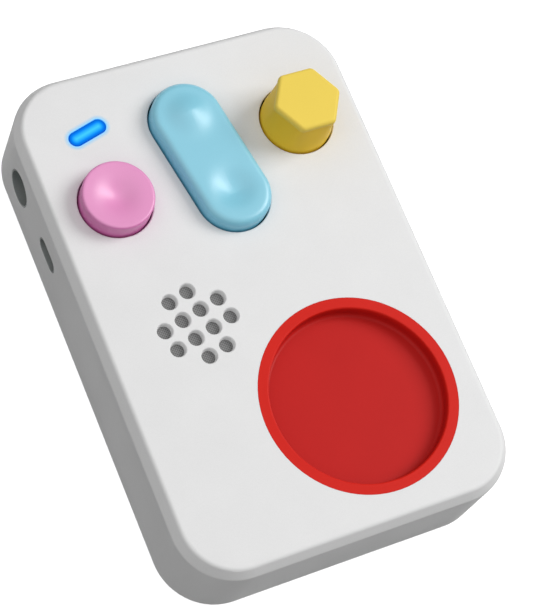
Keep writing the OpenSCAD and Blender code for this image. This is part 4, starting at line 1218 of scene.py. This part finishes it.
wear(moulded("foam_grey", (0.06, 0.06, 0.065), 0.95, grain=1200, drift=0.5, relief=0.25),
     "speaker_gasket", "battery_foam")
wear(moulded("cone_paper", (0.05, 0.05, 0.055), 0.8, grain=1800, drift=0.3, relief=0.08),
     "speaker_cone")
wear(moulded("tape_cream", (0.7, 0.65, 0.45), 0.8, grain=2000, drift=0.08, relief=0.03),
     "battery_tape")
wear(moulded("led_cream", (0.8, 0.75, 0.5), 0.3), "status_led")
wear(moulded("socket_ivory", (0.75, 0.72, 0.62), 0.45), "board_sockets", "lead_plugs")
wear(moulded("wire_red", (0.4, 0.03, 0.03), 0.4), "battery_lead")
wear(moulded("wire_dark", (0.03, 0.04, 0.08), 0.4), "speaker_lead", "reader_lead")
print("solids without a finish:", sorted(set(frame["nodes"]) - finished))

# %% [markdown]
# ## Floor
# The player lies on a plain pale table. To the camera the table is almost pure white and
# only keeps a soft shadow. The light it throws back onto the player's sides is that of a dark
# table, which keeps the sides darker than the face. Light Path tells the two apart.

# %% Floor that looks white but reflects little
FLOOR_SIZE = 4.0
FLOOR_GLOW = 0.82
FLOOR_WHITE = 0.8
FLOOR_DARK = 0.05

bpy.ops.object.select_all(action="DESELECT")
bpy.ops.mesh.primitive_plane_add(size=FLOOR_SIZE, location=(0, 0, 0))
floor = new_piece("floor")
table = bpy.data.materials.new("table")
table.use_nodes = True
tree = table.node_tree
shader = tree.nodes["Principled BSDF"]
path = add(tree, "ShaderNodeLightPath")
mirrored = calc(tree, "MAXIMUM", path.outputs["Is Glossy Ray"],
                path.outputs["Is Transmission Ray"])
seen = calc(tree, "MAXIMUM", path.outputs["Is Camera Ray"], mirrored)
grey = mixed(tree, seen, (FLOOR_DARK,) * 3 + (1,), (FLOOR_WHITE,) * 3 + (1,))
join(tree, grey, shader.inputs["Base Color"])
shader.inputs["Roughness"].default_value = 0.9
shader.inputs["Specular IOR Level"].default_value = 0.0
shader.inputs["Emission Color"].default_value = (1, 1, 1, 1)
join(tree, calc(tree, "MULTIPLY", seen, FLOOR_GLOW), shader.inputs["Emission Strength"])
wear(table, floor)
print("floor of", FLOOR_SIZE, "m")

# %% [markdown]
# ## Light
# A plain room whose ceiling is brighter than its walls, and one soft lamp beyond the right of
# the picture. The ceiling is brightest a little towards the side with the sockets and fades
# away from there. The lamp gives the caps their short soft shadows and the room keeps them
# open. Because light comes mostly from above, the upright sides turn out darker than the
# slopes.

# %% Room light and one soft lamp
WALL_LIGHT = 0.07
CEILING_LIGHT = 1.03
CEILING_FALL = 2.0
CEILING_TOWARDS = (-0.35, -0.04, 0.936)
LAMP_TOWARDS = Vector((0.75, 0.0, 0.66)).normalized()
LAMP_DISTANCE = 1.8
LAMP_SIZE = 1.0
LAMP_POWER = 22.2

world = bpy.data.worlds.new("room")
bpy.context.scene.world = world
world.use_nodes = True
tree = world.node_tree
sky = tree.nodes["Background"]
place = add(tree, "ShaderNodeTexCoord")
upwards = add(tree, "ShaderNodeVectorMath", operation="DOT_PRODUCT")
upwards.inputs[1].default_value = CEILING_TOWARDS
join(tree, place.outputs["Generated"], upwards.inputs[0])
overhead = calc(tree, "MAXIMUM", upwards.outputs["Value"], 0.0)
ceiling = calc(tree, "MULTIPLY", calc(tree, "POWER", overhead, CEILING_FALL), CEILING_LIGHT)
path = add(tree, "ShaderNodeLightPath")
seen = calc(tree, "MAXIMUM", path.outputs["Is Camera Ray"], path.outputs["Is Transmission Ray"])
room_light = calc(tree, "ADD", ceiling, WALL_LIGHT)
join(tree, calc(tree, "MAXIMUM", room_light, seen), sky.inputs["Strength"])
sky.inputs["Color"].default_value = (1, 1, 1, 1)

lamp_data = bpy.data.lights.new("lamp", "AREA")
lamp_data.size = LAMP_SIZE
lamp_data.energy = LAMP_POWER
lamp = bpy.data.objects.new("lamp", lamp_data)
bpy.context.scene.collection.objects.link(lamp)
lamp.location = LAMP_TOWARDS * LAMP_DISTANCE
lamp.rotation_euler = LAMP_TOWARDS.to_track_quat("Z", "Y").to_euler()
print("lamp at", [round(c, 2) for c in lamp.location], "m")

# %% [markdown]
# ## Camera
# The camera stands where the photographer's did. Its three directions say how it is turned:
# to its right, upwards, and back towards the photographer.

# %% Camera
RIGHT = Vector((0.8927, -0.3786, 0.2446))
UP = Vector((0.2732, 0.8861, 0.3745))
BACK = Vector((-0.3585, -0.2675, 0.8944))
CAMERA_AT = (-0.19838, -0.15617, 0.52812)
SENSOR = 36
LENS = 130.12
camera_data = bpy.data.cameras.new("camera")
camera_data.sensor_width = SENSOR
camera_data.lens = LENS
camera = bpy.data.objects.new("camera", camera_data)
bpy.context.scene.collection.objects.link(camera)
turned = Matrix((RIGHT, UP, BACK)).transposed().to_4x4()
turned.translation = CAMERA_AT
camera.matrix_world = turned
bpy.context.scene.camera = camera
bpy.context.scene.view_settings.view_transform = "Standard"
print("camera with a lens of", LENS, "mm")
